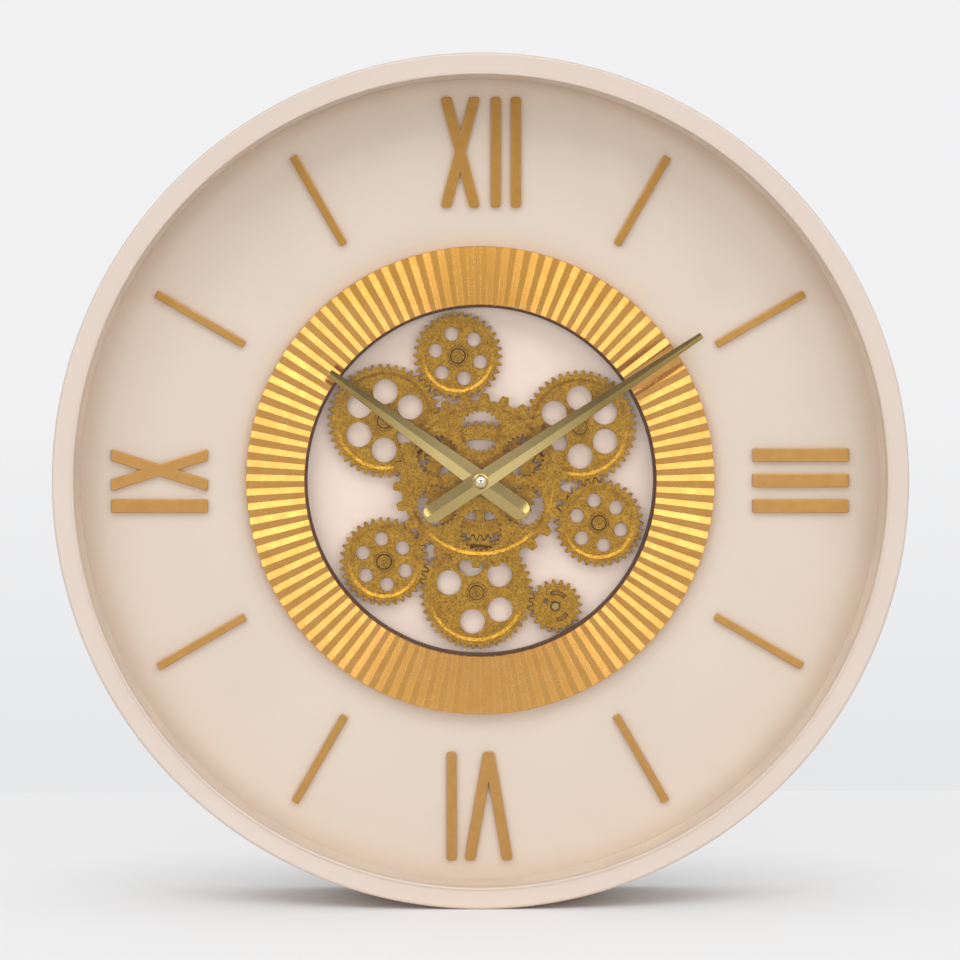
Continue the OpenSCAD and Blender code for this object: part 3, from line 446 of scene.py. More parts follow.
@dataclass(frozen=True)
class Tabletop(Skin):
    """Pale paint that looks nearly as light as the room; its glow fades by occlusion near the
    clock, which paints shade there over the lamps' own shadow.
    """

    paint: Colour = (0.84, 0.84, 0.85)
    glow: Colour = (0.90, 0.90, 0.905)  # colour that the camera and the metal see besides
    share: float = 0.84  # of that colour
    reach: float = 0.16  # distance from the clock below which the glow fades into painted shade

    def fill(self, recipe: Recipe) -> None:
        """Build the shader.

        Args:
            recipe: An empty recipe.
        """
        patch = recipe.noise(recipe.place(), 0.4)
        paint = recipe.coated({
            "Base Color": recipe.tint(patch * 0.1, self.paint, CREAM),
            "Roughness": (0.55 + patch * 0.1).clamped(),
        })
        glow = recipe.node("ShaderNodeEmission", values={"Color": rgba(self.glow)})
        # Occlusion fades the glow near the clock: painted shade over the paint's own shadow from
        # the lamps.
        free = recipe.ramp(recipe.openness(self.reach, 8), [(0.35, 0.0), (0.95, 1.0)])
        recipe.surface(recipe.mixed(recipe.seen() * free * self.share, paint, glow))


@dataclass(frozen=True)
class HandLacquer(Skin):
    """Champagne lacquer that was brushed along a hand, with painted light and shade along it:
    lighter in front of the hub, darker towards its ends.
    """

    heading: float  # of the hand, anticlockwise from three o'clock
    near: Colour = (0.95, 0.73, 0.29)  # painted lighter tone in front of the hub
    far: Colour = (0.36, 0.235, 0.055)  # painted darker tone at the end
    rough: float = 0.22
    span: float = 160 * MM  # length over which the colour is laid
    start: float = 0.25  # share of that length which lies behind the hub
    painted_light_along: tuple[Spot, ...] = (  # painted light and shade: share of the far colour at places along that length
        (0.0, 0.55), (0.225, 0.5), (0.26, 0.0), (0.42, 0.05), (0.6, 0.5), (0.78, 1.0),
    )

    def fill(self, recipe: Recipe) -> None:
        """Build the shader.

        Args:
            recipe: An empty recipe.
        """
        place = recipe.place()
        headed = recipe.headed(place, self.heading)
        along = recipe.node("ShaderNodeSeparateXYZ", values={0: headed}, out="X")
        # Painted light and shade along the hand: lighter in front of the hub and darker towards
        # both ends.
        distance = recipe.ramp(along * (1 / self.span) + self.start, self.painted_light_along)
        marks = recipe.brushed(headed, 0.3 * MM)
        patch = recipe.noise(place, 12 * MM)
        colour = recipe.tint(distance, self.near, self.far)
        colour = recipe.tint(patch * 0.25, colour, self.far)
        recipe.surface(recipe.coated({
            "Base Color": colour,
            "Metallic": 0.9,
            "Roughness": (self.rough + (marks - 0.5) * 0.16).clamped(),
            "Normal": recipe.bump(marks, 0.008 * MM),
        }))


CREAM = screen(229, 215, 203)
# Warm painted shade laid on the rim and the dial near the case's walls.
CREAM_PAINTED_SHADE = (0.66, 0.50, 0.37)
GOLD_DIRT = (0.10, 0.045, 0.010)

# The rim and the dial get painted shade near the case's walls through their corner colour.
RIM = Finish("cream_lacquer", "rim_cream", screen(208, 194, 183), screen(204, 190, 178), 0.34,
             Grain.SPRAYED, size=0.9, depth=0.012, coat=0.25, patch=90, dirt_and_shade=CREAM_PAINTED_SHADE, reach=18)
SPACER = Finish("cream_satin", "spacer_cream", screen(243, 226, 208), CREAM, 0.5, Grain.SPRAYED,
                size=0.6, depth=0.01)
DIAL = Finish("cream_dial_paint", "dial_cream", screen(230, 215, 198), screen(226, 211, 194), 0.62,
              Grain.SPRAYED, size=0.5, depth=0.015, patch=70, dirt_and_shade=CREAM_PAINTED_SHADE, reach=18)
TRAY = Finish("cream_tray_paint", "tray_cream", screen(250, 232, 218), screen(246, 226, 210), 0.7,
              Grain.SPRAYED, size=0.5, depth=0.015, patch=30)
RING = Finish("fluted_gilt", "ring_gold", (0.77, 0.39, 0.07), (0.70, 0.335, 0.046), 0.28,
              Grain.FLUTED, size=0.6, depth=0.012, metal=0.95, patch=8, spread=0.06, coat=0.6)
LINER = Finish("brown_liner", "liner_brown", (0.10, 0.04, 0.010), (0.075, 0.028, 0.008), 0.55,
               Grain.MOULDED, size=0.8)
NUMERAL = Finish("numeral_gilt", "numeral_gold", (0.60, 0.31, 0.07), (0.54, 0.27, 0.05), 0.34,
                 Grain.CAST, size=0.5, depth=0.05, metal=0.55, patch=6)
WHEEL = Finish("antique_gilt", "wheel_gold", (0.72, 0.39, 0.035), (0.52, 0.25, 0.014), 0.36,
               Grain.CAST, size=0.8, depth=0.07, metal=0.95, patch=5, dirt_and_shade=GOLD_DIRT, reach=2,
               fleck=0.6)
STEEL = Finish("turned_steel", "arbor_steel", (0.55, 0.55, 0.54), (0.42, 0.42, 0.41), 0.32,
               Grain.TURNED, size=0.2, metal=1.0, patch=4)
BRASS = Finish("turned_brass", "bush_brass", (0.66, 0.48, 0.20), (0.55, 0.38, 0.14), 0.34,
               Grain.TURNED, size=0.2, metal=1.0, patch=4)
NUT = Finish("polished_nut", "nut_gold", (0.90, 0.84, 0.62), (0.82, 0.74, 0.50), 0.2,
             Grain.SPRAYED, size=1.5, depth=0.004, metal=1.0, patch=4, spread=0.04)
BLACK = Finish("black_moulding", "movement_black", (0.022, 0.022, 0.023), (0.03, 0.03, 0.03), 0.5,
               Grain.MOULDED, size=0.5, depth=0.05)
WHITE = Finish("white_moulding", "gear_white", (0.75, 0.74, 0.69), (0.70, 0.68, 0.62), 0.45,
               Grain.MOULDED, size=0.4)
COPPER = Finish("copper_winding", "coil_copper", (0.62, 0.25, 0.11), (0.50, 0.18, 0.07), 0.28,
                Grain.WOUND, size=0.16, depth=0.06, metal=0.9, patch=3)
BOARD = Finish("circuit_board", "board_green", (0.02, 0.16, 0.07), (0.015, 0.12, 0.05), 0.3,
               Grain.SPRAYED, size=0.7, patch=3)
ROTOR = Finish("grey_rotor", "rotor_grey", (0.22, 0.23, 0.25), (0.17, 0.18, 0.19), 0.4,
               Grain.MOULDED, size=0.4)
NICKEL = Finish("nickel_plate", "contact_nickel", (0.68, 0.66, 0.62), (0.60, 0.57, 0.53), 0.24,
                Grain.BRUSHED, size=0.15, depth=0.006, metal=1.0, patch=3)
PANEL = Finish("fibreboard", "panel_brown", (0.16, 0.088, 0.047), (0.115, 0.062, 0.033), 0.62,
               Grain.FIBRE, size=2.2, depth=0.10, patch=26)
HANGER = Finish("zinc_plate", "hanger_steel", (0.56, 0.57, 0.58), (0.44, 0.45, 0.47), 0.36,
                Grain.BRUSHED, size=0.3, depth=0.01, metal=1.0, patch=7, dirt_and_shade=(0.12, 0.11, 0.10),
                reach=1.5)
PAD = Finish("foam_pad", "pad_grey", (0.09, 0.09, 0.095), (0.07, 0.07, 0.072), 0.9,
             Grain.FOAM, size=0.8, depth=0.3)
SEAL = Finish("seal_rubber", "seal_grey", (0.05, 0.05, 0.05), (0.04, 0.04, 0.04), 0.75,
              Grain.MOULDED, size=0.6)
CARD = Finish("card_grey", "", (0.62, 0.62, 0.625), (0.59, 0.59, 0.595), 0.8,
              Grain.SPRAYED, size=2, depth=0.01, patch=400)
GLASS = Pane("clear_pane", "clear_glass")
TABLE = Tabletop("table_white", "")


def linked(name: str, data: bpy.types.ID) -> bpy.types.Object:
    """Stand new data in the scene as an object.

    Args:
        name: The object's name.
        data: Its mesh, lamp or camera.

    Returns:
        The object.
    """
    made = bpy.data.objects.new(name, data)
    bpy.context.scene.collection.objects.link(made)
    return made


@dataclass(frozen=True)
class Piece:
    """A piece that is made anew and rides on a body."""

    name: str
    body: str
    finish: Skin
    crease: float = 18.0  # angle above which an edge stays sharp
    soft: float = 0.45 * MM  # width of an eased edge
    steps: int = 2  # how many faces round it
    least: float = 40.0  # angle above which an edge is eased

    def of_faces(self, points: Sequence[Point], faces: Iterable[Face]) -> bpy.types.Object:
        """Make the piece from points and faces.

        Args:
            points: Its points in the model's frame.
            faces: Its faces as places in the list of points.

        Returns:
            The piece.
        """
        mesh = bpy.data.meshes.new(self.name)
        mesh.from_pydata(points, [], faces)
        return self._placed(mesh)

    def of_node(self, node: str) -> None:
        """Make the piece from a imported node, in its place and with its sharp edges eased.

        Args:
            node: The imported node.
        """
        form = bmesh.new()
        form.from_mesh(bpy.data.objects[node].data)
        bmesh.ops.remove_doubles(form, verts=form.verts, dist=0.002 * MM)
        bmesh.ops.dissolve_limit(
            form, angle_limit=math.radians(0.5), verts=form.verts, edges=form.edges
        )
        piece = self.of_form(form)
        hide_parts(node)

    def of_form(self, form: bmesh.types.BMesh) -> bpy.types.Object:
        """Make the piece from a form, with its sharp edges eased.

        Args:
            form: The form, which is used up.

        Returns:
            The piece.
        """
        bmesh.ops.recalc_face_normals(form, faces=form.faces)
        sharp = [e for e in form.edges if e.calc_face_angle(0.0) > math.radians(self.least)]
        bmesh.ops.bevel(
            form, geom=sharp, offset=self.soft, segments=self.steps, profile=0.5,
            affect="EDGES", clamp_overlap=True,
        )
        mesh = bpy.data.meshes.new(self.name)
        form.to_mesh(mesh)
        form.free()
        return self._placed(mesh)

    def _placed(self, mesh: bpy.types.Mesh) -> bpy.types.Object:
        """Turn a mesh into the piece.

        Args:
            mesh: The mesh.

        Returns:
            The piece.
        """
        form = bmesh.new()
        form.from_mesh(mesh)
        bmesh.ops.recalc_face_normals(form, faces=form.faces)
        for face in form.faces:
            face.smooth = True
        for edge in form.edges:
            edge.smooth = edge.calc_face_angle(0.0) < math.radians(self.crease)
        form.to_mesh(mesh)
        form.free()
        mesh.materials.clear()
        mesh.materials.append(self.finish.material())
        piece = linked(self.name, mesh)
        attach(piece, self.body)
        LOG.info("%s on %s, %d faces", self.name, self.body, len(mesh.polygons))
        return piece


def dress(finish: Skin, *names: str) -> None:
    """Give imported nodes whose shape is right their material.

    Args:
        finish: What they are made of.
        names: The nodes.
    """
    made = finish.material()
    for name in names:
        node = bpy.data.objects[name]
        for place in range(len(node.data.materials)):
            node.material_slots[place].link = "DATA"
            node.data.materials[place] = made
        LOG.info("%s dressed in %s", name, finish.name)


def upright(across: float, up: float, out: float) -> Point:
    """The point of the model's frame at a place on the face and a height above the wall."""
    return across, -out, up


def swung(across: float, up: float, angle: float) -> Spot:
    """A place on the face, swung anticlockwise about the middle by an angle in radians."""
    cos, sin = math.cos(angle), math.sin(angle)
    return across * cos - up * sin, across * sin + up * cos


def quads(rows: int, row: int, start: int = 0, closed: bool = False) -> list[Face]:
    """Faces between rings of points that follow one another.

    Args:
        rows: How many rings.
        row: How many points each of them has.
        start: Place of their first point.
        closed: Whether the last ring meets the first.

    Returns:
        The faces.
    """
    starts = [start + k * row for k in range(rows)]
    pairs = zip(starts, starts[1:] + starts[: int(closed)])
    return [
        (low + i, low + (i + 1) % row, high + (i + 1) % row, high + i)
        for low, high in pairs
        for i in range(row)
    ]


def plug(rows: int, row: int, start: int = 0) -> list[Face]:
    """Faces between such rings, with the first and the last one filled."""
    ends = [tuple(range(first, first + row)) for first in (start, start + (rows - 1) * row)]
    return quads(rows, row, start) + ends


def circle(middle: Spot, radius: float, out: float, sides: int) -> list[Point]:
    """Points round a circle that lies flat on the clock."""
    spots = (swung(radius, 0.0, TURN * k / sides) for k in range(sides))
    return [upright(middle[0] + x, middle[1] + y, out) for x, y in spots]


def turned_form(profile: Sequence[Spot], steps: int) -> tuple[list[Point], list[Face]]:
    """Turn a closed profile round the clock's middle.

    Args:
        profile: Radius and height above the wall of each corner.
        steps: How many steps the turn has.

    Returns:
        The points and the faces.
    """
    points = [
        upright(*swung(r, 0.0, TURN * k / steps), z) for k in range(steps) for r, z in profile
    ]
    return points, quads(steps, len(profile), closed=True)


@dataclass
class Case:
    """The round case with its glass, back panel and hanger."""

    radius: float = 250 * MM  # outside
    depth: float = 75 * MM  # height of the crest above the wall
    wall: float = 3 * MM
    seat: float = 66.8 * MM  # height at which the lip bears on the glass seal
    lip: float = 237.5 * MM  # radius of the lip's opening
    crest: float = 1.8 * MM  # radius of the rounded crest
    drop: float = 1.0 * MM  # how far the lip dishes down towards its opening
    bead: float = 0.7 * MM  # radius of the bead round the opening
    throat: float = 1.2 * MM  # from the bead's middle to the straight wall below it
    edge: float = 0.6 * MM  # width of the bevel at the wall's foot
    steps: int = 384  # round the case
    bosses: int = 16
    boss: float = 3.2 * MM  # radius of a screw boss
    boss_ring: float = 244.8 * MM  # distance of the bosses from the middle
    back: float = 7 * MM  # height at which the rear bosses start
    dial: float = 34 * MM  # height at which the dial bosses start
    boss_sink: float = 0.05 * MM  # how far a boss reaches into the lip
    boss_sides: int = 20
    pad: float = 8 * MM  # radius of a wall pad
    pad_ring: float = 226.6 * MM  # distance of the wall pads from the middle
    pad_rise: float = 4 * MM  # thickness of a wall pad
    pad_sides: int = 40

    def build(self) -> None:
        """Make the rim anew with a fine turned section, and dress the rest."""
        self._rim()
        dress(SPACER, "spacer_ring")
        dress(GLASS, "glass")
        dress(SEAL, "glass_seal")
        dress(PANEL, "back_panel")
        dress(HANGER, "hanger_plate", "hanger_rivets")
        self._pads()
        dress(STEEL, "back_screws", "dial_screws", "tray_screws")

    def _section(self) -> list[Spot]:
        """The rim's section, from the wall's foot round the crest to the bead and back.

        Returns:
            Radius and height of each corner.
        """
        inside = self.radius - self.wall
        section = [(inside, 0.0), (self.radius - self.edge, 0.0), (self.radius, self.edge)]
        section += [(self.radius, z * MM) for z in (20, 40, 60)]
        shoulder = self.radius - self.crest
        for step in range(25):
            a = math.radians(90 * step / 24)
            section.append((
                shoulder + self.crest * math.cos(a),
                self.depth - self.crest + self.crest * math.sin(a),
            ))
        for step in range(1, 16):
            t = step / 16
            section.append((
                shoulder - t * (shoulder - self.lip), self.depth - self.drop * (1 - (1 - t) ** 2),
            ))
        low = self.depth - self.drop
        for step in range(17):
            a = math.radians(60 + 240 * step / 16)
            section.append((
                self.lip + self.bead + self.bead * math.cos(a), low + self.bead * math.sin(a),
            ))
        return [*section, (self.lip, low - self.throat), (self.lip, self.seat),
                (inside, self.seat)]

    def _rim(self) -> None:
        """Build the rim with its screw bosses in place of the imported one."""
        points, faces = turned_form(self._section(), self.steps)
        for number in range(self.bosses):
            middle = swung(self.boss_ring, 0.0, TURN * number / self.bosses)
            faces += plug(2, self.boss_sides, len(points))
            for height in (self.dial if number % 2 else self.back, self.seat + self.boss_sink):
                for x, y, z in circle(middle, self.boss, height, self.boss_sides):
                    share = min(1.0, (self.radius - self.wall / 2) / math.hypot(x, z))
                    points.append((x * share, y, z * share))
        rim = Piece("rim_shell", "case", RIM, 40.0).of_faces(points, faces)
        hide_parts("case_rim")

    def _pads(self) -> None:
        """Build the four foam pads, each crowned on the wall's side with a soft, rolled edge."""
        rings = 9
        roll, crown = 0.14, 0.45
        bends = [math.radians(90 * ring / (rings - 1)) for ring in range(rings)]
        profile = [
            (self.pad * (1 - roll + roll * math.sin(a)),
             self.pad_rise * crown * (1 - math.cos(a)))
            for a in bends
        ]
        profile.append((self.pad, self.pad_rise))
        points: list[Point] = []
        faces: list[Face] = []
        for number in range(4):
            middle = swung(self.pad_ring, 0.0, TURN * (number + 0.5) / 4)
            faces += plug(len(profile), self.pad_sides, len(points))
            for reach, height in profile:
                points += circle(middle, reach, height, self.pad_sides)
        pads = Piece("foam_pads", "case", PAD, 40.0).of_faces(points, faces)
        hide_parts("wall_pads")


@dataclass(frozen=True)
class Glyph:
    """A flat numeral whose strokes have rounded ends."""

    node: str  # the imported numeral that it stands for
    clock: float  # clock angle at which it stands
    strokes: tuple[tuple[Spot, ...], ...]  # outlines in millimetres, seen from the dial's middle
    corner: float  # radius of its corners, in millimetres

    @staticmethod
    def bar(middle: float, width: float, length: float) -> tuple[Spot, ...]:
        """Outline of an upright stroke."""
        left, right = middle - width / 2, middle + width / 2
        return (left, 0.0), (right, 0.0), (right, length), (left, length)

    @staticmethod
    def vee(middle: float, spread: float, width: float, length: float) -> tuple[Spot, ...]:
        """Outline of two strokes that meet at the foot.

        Args:
            middle: Place of the foot.
            spread: Distance of each end from the middle.
            width: Width of a stroke.
            length: Length from the foot to the ends.

        Returns:
            Its corners.
        """
        half = width / 2
        notch = length * half / spread
        return (
            (middle - half, 0.0), (middle + half, 0.0), (middle + spread + half, length),
            (middle + spread - half, length), (middle, notch), (middle - spread + half, length),
            (middle - spread - half, length),
        )

    @staticmethod
    def cross(middle: float, spread: float, width: float, length: float) -> tuple[Spot, ...]:
        """Outline of two strokes that cross.

        Args:
            middle: Place of the crossing.
            spread: Distance of each end from the middle.
            width: Width of a stroke.
            length: Length from end to end.

        Returns:
            Its corners.
        """
        half = length / 2
        top = Glyph.vee(middle, spread, width, half)
        return (
            *((x, half - y) for x, y in reversed(top[2:])),
            *((x, half + y) for x, y in (*top[1:], top[0])),
        )

    def build(self, foot: float, low: float, rise: float) -> None:
        """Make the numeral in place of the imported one.

        Args:
            foot: Distance of its foot from the dial's middle.
            low: Height of its underside above the wall.
            rise: Its thickness.
        """
        turn = -math.radians(self.clock)
        form = bmesh.new()
        for stroke in self.strokes:
            rounded = self._rounded(stroke)
            spots = [
                upright(*swung(x * MM, foot + y * MM, turn), height)
                for height in (low, low + rise)
                for x, y in rounded
            ]
            corners = [form.verts.new(spot) for spot in spots]
            sides = quads(2, len(rounded))
            ends = [range(len(rounded)), range(len(rounded), len(corners))]
            for face in (*ends, *sides):
                form.faces.new([corners[place] for place in face])
        piece = Piece(self.node + "_eased", "case", NUMERAL).of_form(form)
        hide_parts(self.node)

    def _rounded(self, outline: Sequence[Spot]) -> list[Vector]:
        """Round the outward corners of an outline.

        Args:
            outline: Its corners, anticlockwise.

        Returns:
            The corners with an arc at each one that points outwards.
        """
        corners = [Vector(corner) for corner in outline]
        made: list[Vector] = []
        for number, corner in enumerate(corners):
            back = (corners[number - 1] - corner).normalized()
            ahead = (corners[(number + 1) % len(corners)] - corner).normalized()
            if back.cross(ahead) > 0:
                made.append(corner)
                continue
            half = back.angle(ahead) / 2
            middle = corner + (back + ahead).normalized() * self.corner / math.sin(half)
            first = corner + back * self.corner / math.tan(half) - middle
            bend = math.pi - 2 * half
            made += [
                middle + Vector(swung(first.x, first.y, bend * step / 6)) for step in range(7)
            ]
        return made


@dataclass
class Dial:
    """The dial with its fluted ring, liner, tray and numerals."""

    window: float = 104.6 * MM  # radius of the ring's opening
    outer: float = 139.5 * MM  # radius of the ring's outside
    foot: float = 34 * MM  # height of the ring's underside above the wall
    valley: float = 40.2 * MM  # height of the valleys between pleats
    crest: float = 42 * MM  # height of the crests
    pleats: int = 100
    numeral: float = 162.6 * MM  # distance of the numerals' feet from the middle
    rise: float = 3 * MM  # thickness of the numerals
    tall: float = 65.4 * MM  # length of the numerals at twelve and six
    short: float = 57.4 * MM  # length of the numerals at three and nine

    def build(self) -> None:
        """Make the ring and the numerals anew with eased edges, and dress the rest."""
        self._ring()
        for glyph in self._glyphs():
            glyph.build(self.numeral, self.foot, self.rise)
        Piece("hour_batons_eased", "case", NUMERAL).of_node("hour_batons")
        dress(DIAL, "dial_board")
        dress(TRAY, "gear_tray")
        dress(LINER, "window_liner")

    def _glyphs(self) -> list[Glyph]:
        """The four numerals.

        Returns:
            The numerals, with their places and widths.
        """
        tall, short = self.tall / MM, self.short / MM
        return [
            Glyph("numeral_xii", 0, (
                Glyph.cross(-12, 8.7, 6.3, tall),
                Glyph.bar(9.1, 5.9, tall), Glyph.bar(21, 5.9, tall),
            ), 1.9),
            Glyph("numeral_iii", 90, (
                Glyph.bar(-15.2, 8, short), Glyph.bar(0.0, 8, short),
                Glyph.bar(15.2, 8, short),
            ), 0.8),
            Glyph("numeral_vi", 180, (
                Glyph.vee(-4.9, 11.4, 6.3, tall),
                Glyph.bar(17.3, 5.9, tall),
            ), 1.9),
            Glyph("numeral_ix", 270, (
                Glyph.bar(-15, 8, short),
                Glyph.cross(6.4, 9.1, 6.9, short),
            ), 0.8),
        ]

    def _ring(self) -> None:
        """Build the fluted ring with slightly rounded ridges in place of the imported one."""
        soft, flank = 0.03, 0.27  # shares of a pleat's width
        shares = [0.0, soft / 2, soft, flank, 0.5 - soft, 0.5 - soft / 2]
        lifts = [1 - 0.9 * soft, 1 - 1.2 * soft, 1 - 2 * soft, 1 - 2 * flank, 2 * soft, 1.2 * soft]
        shares += [1 - share for share in (0.5, *shares[:0:-1])]
        lifts += [0.9 * soft, *lifts[:0:-1]]
        ends, band = 0.35 * MM, 8 * MM
        stations = [
            (self.window, 0.0), (self.window, 0.93), (self.window + ends, 1.0),
            (self.window + band, 1.0), (self.outer - band, 1.0),
            (self.outer - ends, 1.0), (self.outer, 0.93), (self.outer, 0.0),
        ]
        points: list[Point] = []
        for pleat in range(self.pleats):
            for share, lift in zip(shares, lifts):
                a = TURN * (pleat + share) / self.pleats
                rise = self.valley + (self.crest - self.valley) * lift - self.foot
                points += [upright(*swung(r, 0.0, a), self.foot + rise * h) for r, h in stations]
        faces = quads(self.pleats * len(shares), len(stations), closed=True)
        ring = Piece("pleated_ring", "case", RING, 8.0).of_faces(points, faces)
        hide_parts("fluted_ring")


@dataclass
class WheelTrain:
    """The gilt wheels in the window, with their posts and caps."""

    wheels: tuple[tuple[str, str], ...] = (  # each wheel and the body that it turns with
        ("centre_wheel", "centre"), ("sun_wheel", "centre"),
        *((f"large_wheel_{side}", f"large_{side}") for side in ("left", "right", "bottom")),
        *((f"small_wheel_{side}", f"small_{side}") for side in ("top", "right", "left")),
        ("drive_pinion", "drive"),
    )
    edge: float = 0.2 * MM  # width of the eased edges

    def build(self) -> None:
        """Ease and gild the wheels, and dress what carries them."""
        for node, body in self.wheels:
            Piece(node + "_gilt", body, WHEEL, soft=self.edge, steps=1, least=50.0).of_node(node)
        dress(WHEEL, "post_caps", "centre_clip", "wheel_posts")
        dress(BRASS, "centre_bush", "bush_washer", "bush_nut")


@dataclass(frozen=True)
class Blade:
    """One hand: a ridged blade with a round tail and a narrow end."""

    node: str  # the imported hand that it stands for
    body: str
    heading: float  # anticlockwise from three o'clock
    reach: float  # length from the hub to the tip
    tail: float  # length from the hub to the end of the tail
    width: float  # at the hub
    end_share: float  # width of the tip as a share of the width at the hub
    low: float  # height of its underside above the wall
    hub: float  # radius of the round hub
    bore: float  # radius of the hole in the hub
    skirt: float  # how far the hub reaches below the blade
    edge: float = 0.8 * MM  # thickness at its edge
    ridge: float = 1.1 * MM  # height of the ridge above the edge
    soft: float = 0.12 * MM  # width of the rounded edges

    def build(self) -> None:
        """Make the hand with its edges and ridge slightly rounded."""
        points, faces = self._blade()
        self._hub(points, faces)
        finish = HandLacquer(self.node + "_lacquer", "hand_champagne", self.heading)
        hand = Piece(self.node + "_brushed", self.body, finish, 25.0).of_faces(points, faces)
        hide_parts(self.node)

    def _stations(self) -> list[Spot]:
        """Places along the blade, from the tip to the end of the tail.

        Returns:
            Each place's distance from the hub, and half the width there.
        """
        half = self.width / 2
        tip = self.end_share * half
        stations = [(self.reach, 0.62 * tip), (self.reach - 0.15 * tip, 0.86 * tip),
                    (self.reach - 0.4 * tip, tip)]
        stations += [(self.reach * s, tip + (half - tip) * (1 - s)) for s in (0.75, 0.5, 0.25)]
        stations.append((0.0, half))
        for step in range(15):
            a = math.radians(90 * step / 14.6)
            stations.append((-self.tail + half - half * math.sin(a), half * math.cos(a)))
        return stations

    def _blade(self) -> tuple[list[Point], list[Face]]:
        """The blade as rings of points from the tip to the end of the tail.

        Returns:
            The points and the faces.
        """
        stations = self._stations()
        turn = math.radians(self.heading)
        points: list[Point] = []
        for along, wide in stations:
            rise = self.ridge * wide / (self.width / 2)
            flat = min(self.soft, wide / 3)
            section = [
                (wide - flat, 0.0), (wide, flat), (wide, self.edge - flat),
                (wide - flat, self.edge + rise * flat / wide * 0.6),
                (3 * flat, self.edge + rise * (1 - 3 * flat / wide)),
                (flat, self.edge + rise * (1 - 1.4 * flat / wide)),
            ]
            section += [(-side, height) for side, height in reversed(section)]
            points += [
                upright(*swung(along, side, turn), self.low + height) for side, height in section
            ]
        return points, plug(len(stations), len(section))

    def _hub(self, points: list[Point], faces: list[Face]) -> None:
        """Add the round hub with its bore.

        Args:
            points: The hand's points, which grow.
            faces: The hand's faces, which grow.
        """
        bottom, top = self.low - self.skirt, self.low + self.edge + self.ridge
        soft = 0.1 * MM
        profile = [(self.bore, bottom), (self.hub, bottom), (self.hub, top - soft),
                   (self.hub - soft, top), (self.bore, top)]
        start = len(points)
        more, rings = turned_form(profile, 64)
        points += more
        faces += [tuple(start + i for i in ring) for ring in rings]


@dataclass
class Hands:
    """The two hands and the domed nut that holds them."""

    minute: Blade = Blade(
        "minute_hand", "minute", 33.5, reach=157 * MM, tail=39.5 * MM, width=11.6 * MM,
        end_share=0.33, low=48.2 * MM, hub=4.7 * MM, bore=1.6 * MM, skirt=0.0)
    hour: Blade = Blade(
        "hour_hand", "hour", 144.3, reach=110.5 * MM, tail=34.5 * MM, width=12.4 * MM,
        end_share=0.39, low=44.5 * MM, hub=4.05 * MM, bore=2.7 * MM, skirt=1.8 * MM)

    def build(self) -> None:
        """Make the hands and dress the nut."""
        self.minute.build()
        self.hour.build()
        dress(NUT, "hand_nut")
        dress(STEEL, "minute_arbor")


@dataclass
class Works:
    """The clock movement and the drive behind the tray."""

    def build(self) -> None:
        """Dress the works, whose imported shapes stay. The cells keep their packed material."""
        dress(BLACK, "movement_case", "movement_cover", "drive_case", "drive_cover",
              "power_switch", "set_knob")
        dress(WHITE, "hour_wheel", "motion_wheel", "reduction_wheel")
        dress(COPPER, "movement_coil", "drive_coil")
        dress(BOARD, "movement_board")
        dress(ROTOR, "drive_rotor")
        dress(NICKEL, "clock_contacts", "drive_contacts")
        dress(BRASS, "drive_arbor")
        dress(TRAY, "drive_screws")


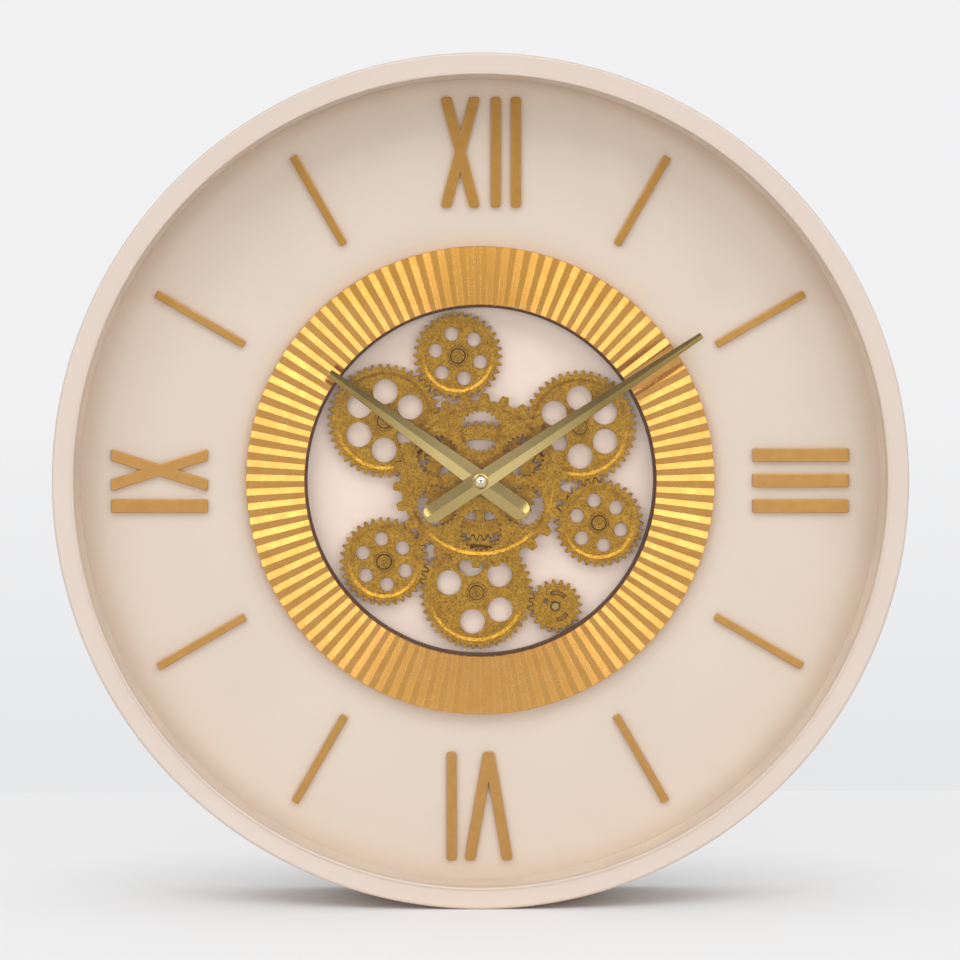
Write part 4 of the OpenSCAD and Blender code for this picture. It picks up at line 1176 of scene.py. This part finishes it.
@dataclass
class Studio:
    """The table, the pale room, the lamps and the camera."""

    distance: float = 1.6  # from the camera to the front of the clock
    across: float = -0.020  # of the camera, to the right of the clock's middle
    height: float = 0.066  # of the camera, above the clock's middle
    lens: float = 103.0  # focal length, in millimetres
    aim: Point = (-0.00076, -0.075, 0.00204)  # what the camera looks at
    # Half the width of a board, and depth and height of its front and of its back edge.
    table: tuple[float, Spot, Spot] = (2.2, (-0.73, -250 * MM), (0.376, -250 * MM))
    card: tuple[float, Spot, Spot] = (3.2, (-5.0, 0.22), (-4.6, 3.1))
    room: Colour = (0.885, 0.885, 0.895)  # of the room above, as the camera sees it
    room_low: Colour = (0.80, 0.805, 0.815)  # of the room below
    glow: Colour = (1.0, 0.96, 0.915)  # of the room's light on the clock
    fill: float = 0.36  # strength of that light
    key: float = 11.8  # watts of each of the three lamps that stand in an arc above
    key_reach: float = 1.81  # radius of that arc
    key_ahead: float = 1.49  # how far it stands in front of the wall
    spread: float = 44.0  # from one of them to the next
    side: float = 5.0  # watts of each lamp beside the camera
    front: float = 17.0  # watts of the wide lamp behind the camera

    def build(self) -> None:
        """Set up the room, the table, the lamps and the camera."""
        self._room()
        self._sheet("table", *self.table, TABLE)
        for number in range(3):
            across, up = swung(0.0, self.key_reach, -math.radians(self.spread * (number - 1)))
            self._lamp(f"key_{number}", (across, -self.key_ahead, up), (1.6, 1.3), self.key)
        for name, across in (("left", -1.08), ("right", 1.08)):
            self._lamp(name, (across, -2.35, 0.1), (0.75, 0.75), self.side)
        wide = self._lamp("front", (0.0, -2.45, 0.1), (2.0, 0.6), self.front)
        wide.visible_glossy = False
        # Flat metal and the hands' upper sides mirror this card, which hangs behind the camera.
        self._sheet("grey_card", *self.card, CARD)
        self._camera()

    def _room(self) -> None:
        """Light the room, and show it pale behind the clock and in the metal."""
        world = bpy.data.worlds.new("pale_room")
        bpy.context.scene.world = world
        world.use_nodes = True
        recipe = Recipe(world.node_tree)
        way = recipe.node("ShaderNodeTexCoord", out="Generated")
        rise = recipe.node("ShaderNodeSeparateXYZ", values={0: way}, out="Z")
        wall = recipe.tint((rise * 8 + 1.07).clamped(), self.room_low, self.room)
        pale = recipe.node("ShaderNodeBackground", values={"Color": wall})
        soft = recipe.node(
            "ShaderNodeBackground", values={"Color": rgba(self.glow), "Strength": self.fill}
        )
        mixed = recipe.mixed(recipe.seen(), soft, pale)
        recipe.node("ShaderNodeOutputWorld", values={"Surface": mixed})

    @staticmethod
    def _sheet(name: str, side: float, near: Spot, far: Spot, finish: Skin) -> None:
        """Set up a flat board that belongs to the studio.

        Args:
            name: Its name.
            side: Half its width.
            near: Depth and height of its front edge.
            far: Depth and height of its back edge.
            finish: Its paint.
        """
        mesh = bpy.data.meshes.new(name)
        points = [(-side, *near), (side, *near), (side, *far), (-side, *far)]
        mesh.from_pydata(points, [], [(0, 1, 2, 3)])
        mesh.materials.append(finish.material())
        sheet = linked(name, mesh)

    @staticmethod
    def _lamp(name: str, place: Point, size: Spot, power: float) -> bpy.types.Object:
        """Hang a soft box that faces the clock.

        Args:
            name: The lamp's name.
            place: Where it hangs.
            size: Its width and height.
            power: Its power, in watts.

        Returns:
            The lamp.
        """
        lamp = bpy.data.lights.new(name, "AREA")
        lamp.shape = "RECTANGLE"
        lamp.size, lamp.size_y = size
        lamp.energy = power
        box = linked(name, lamp)
        box.location = place
        box.rotation_mode = "QUATERNION"
        away = Vector(place).normalized()
        wide = away.cross(Vector((0.0, 1.0, 0.0))).normalized()
        turn = Matrix((wide, away.cross(wide), away)).transposed()
        box.rotation_quaternion = turn.to_quaternion()
        return box

    def _camera(self) -> None:
        """Place the camera at the photograph's height and distance."""
        lens = bpy.data.cameras.new("camera")
        lens.lens = self.lens
        lens.sensor_width = 36.0
        camera = linked("camera", lens)
        back = math.sqrt(self.distance**2 - self.height**2 - self.across**2)
        camera.location = (self.across, self.aim[1] - back, self.height)
        camera.rotation_mode = "QUATERNION"
        camera.rotation_quaternion = (Vector(self.aim) - camera.location).to_track_quat("-Z", "Y")
        bpy.context.scene.camera = camera


def corners(box: tuple[Vector, Vector]) -> list[list[float]]:
    """A box as plain lists of numbers."""
    return [list(corner) for corner in box]


def main() -> None:
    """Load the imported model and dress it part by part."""
    logging.basicConfig(level=logging.INFO, format="%(message)s")
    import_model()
    bpy.context.scene.view_settings.view_transform = "Standard"
    for part in (Case(), Dial(), WheelTrain(), Hands(), Works(), Studio()):
        part.build()
        LOG.info("%s done", type(part).__name__)


if __name__ == "__main__":
    main()
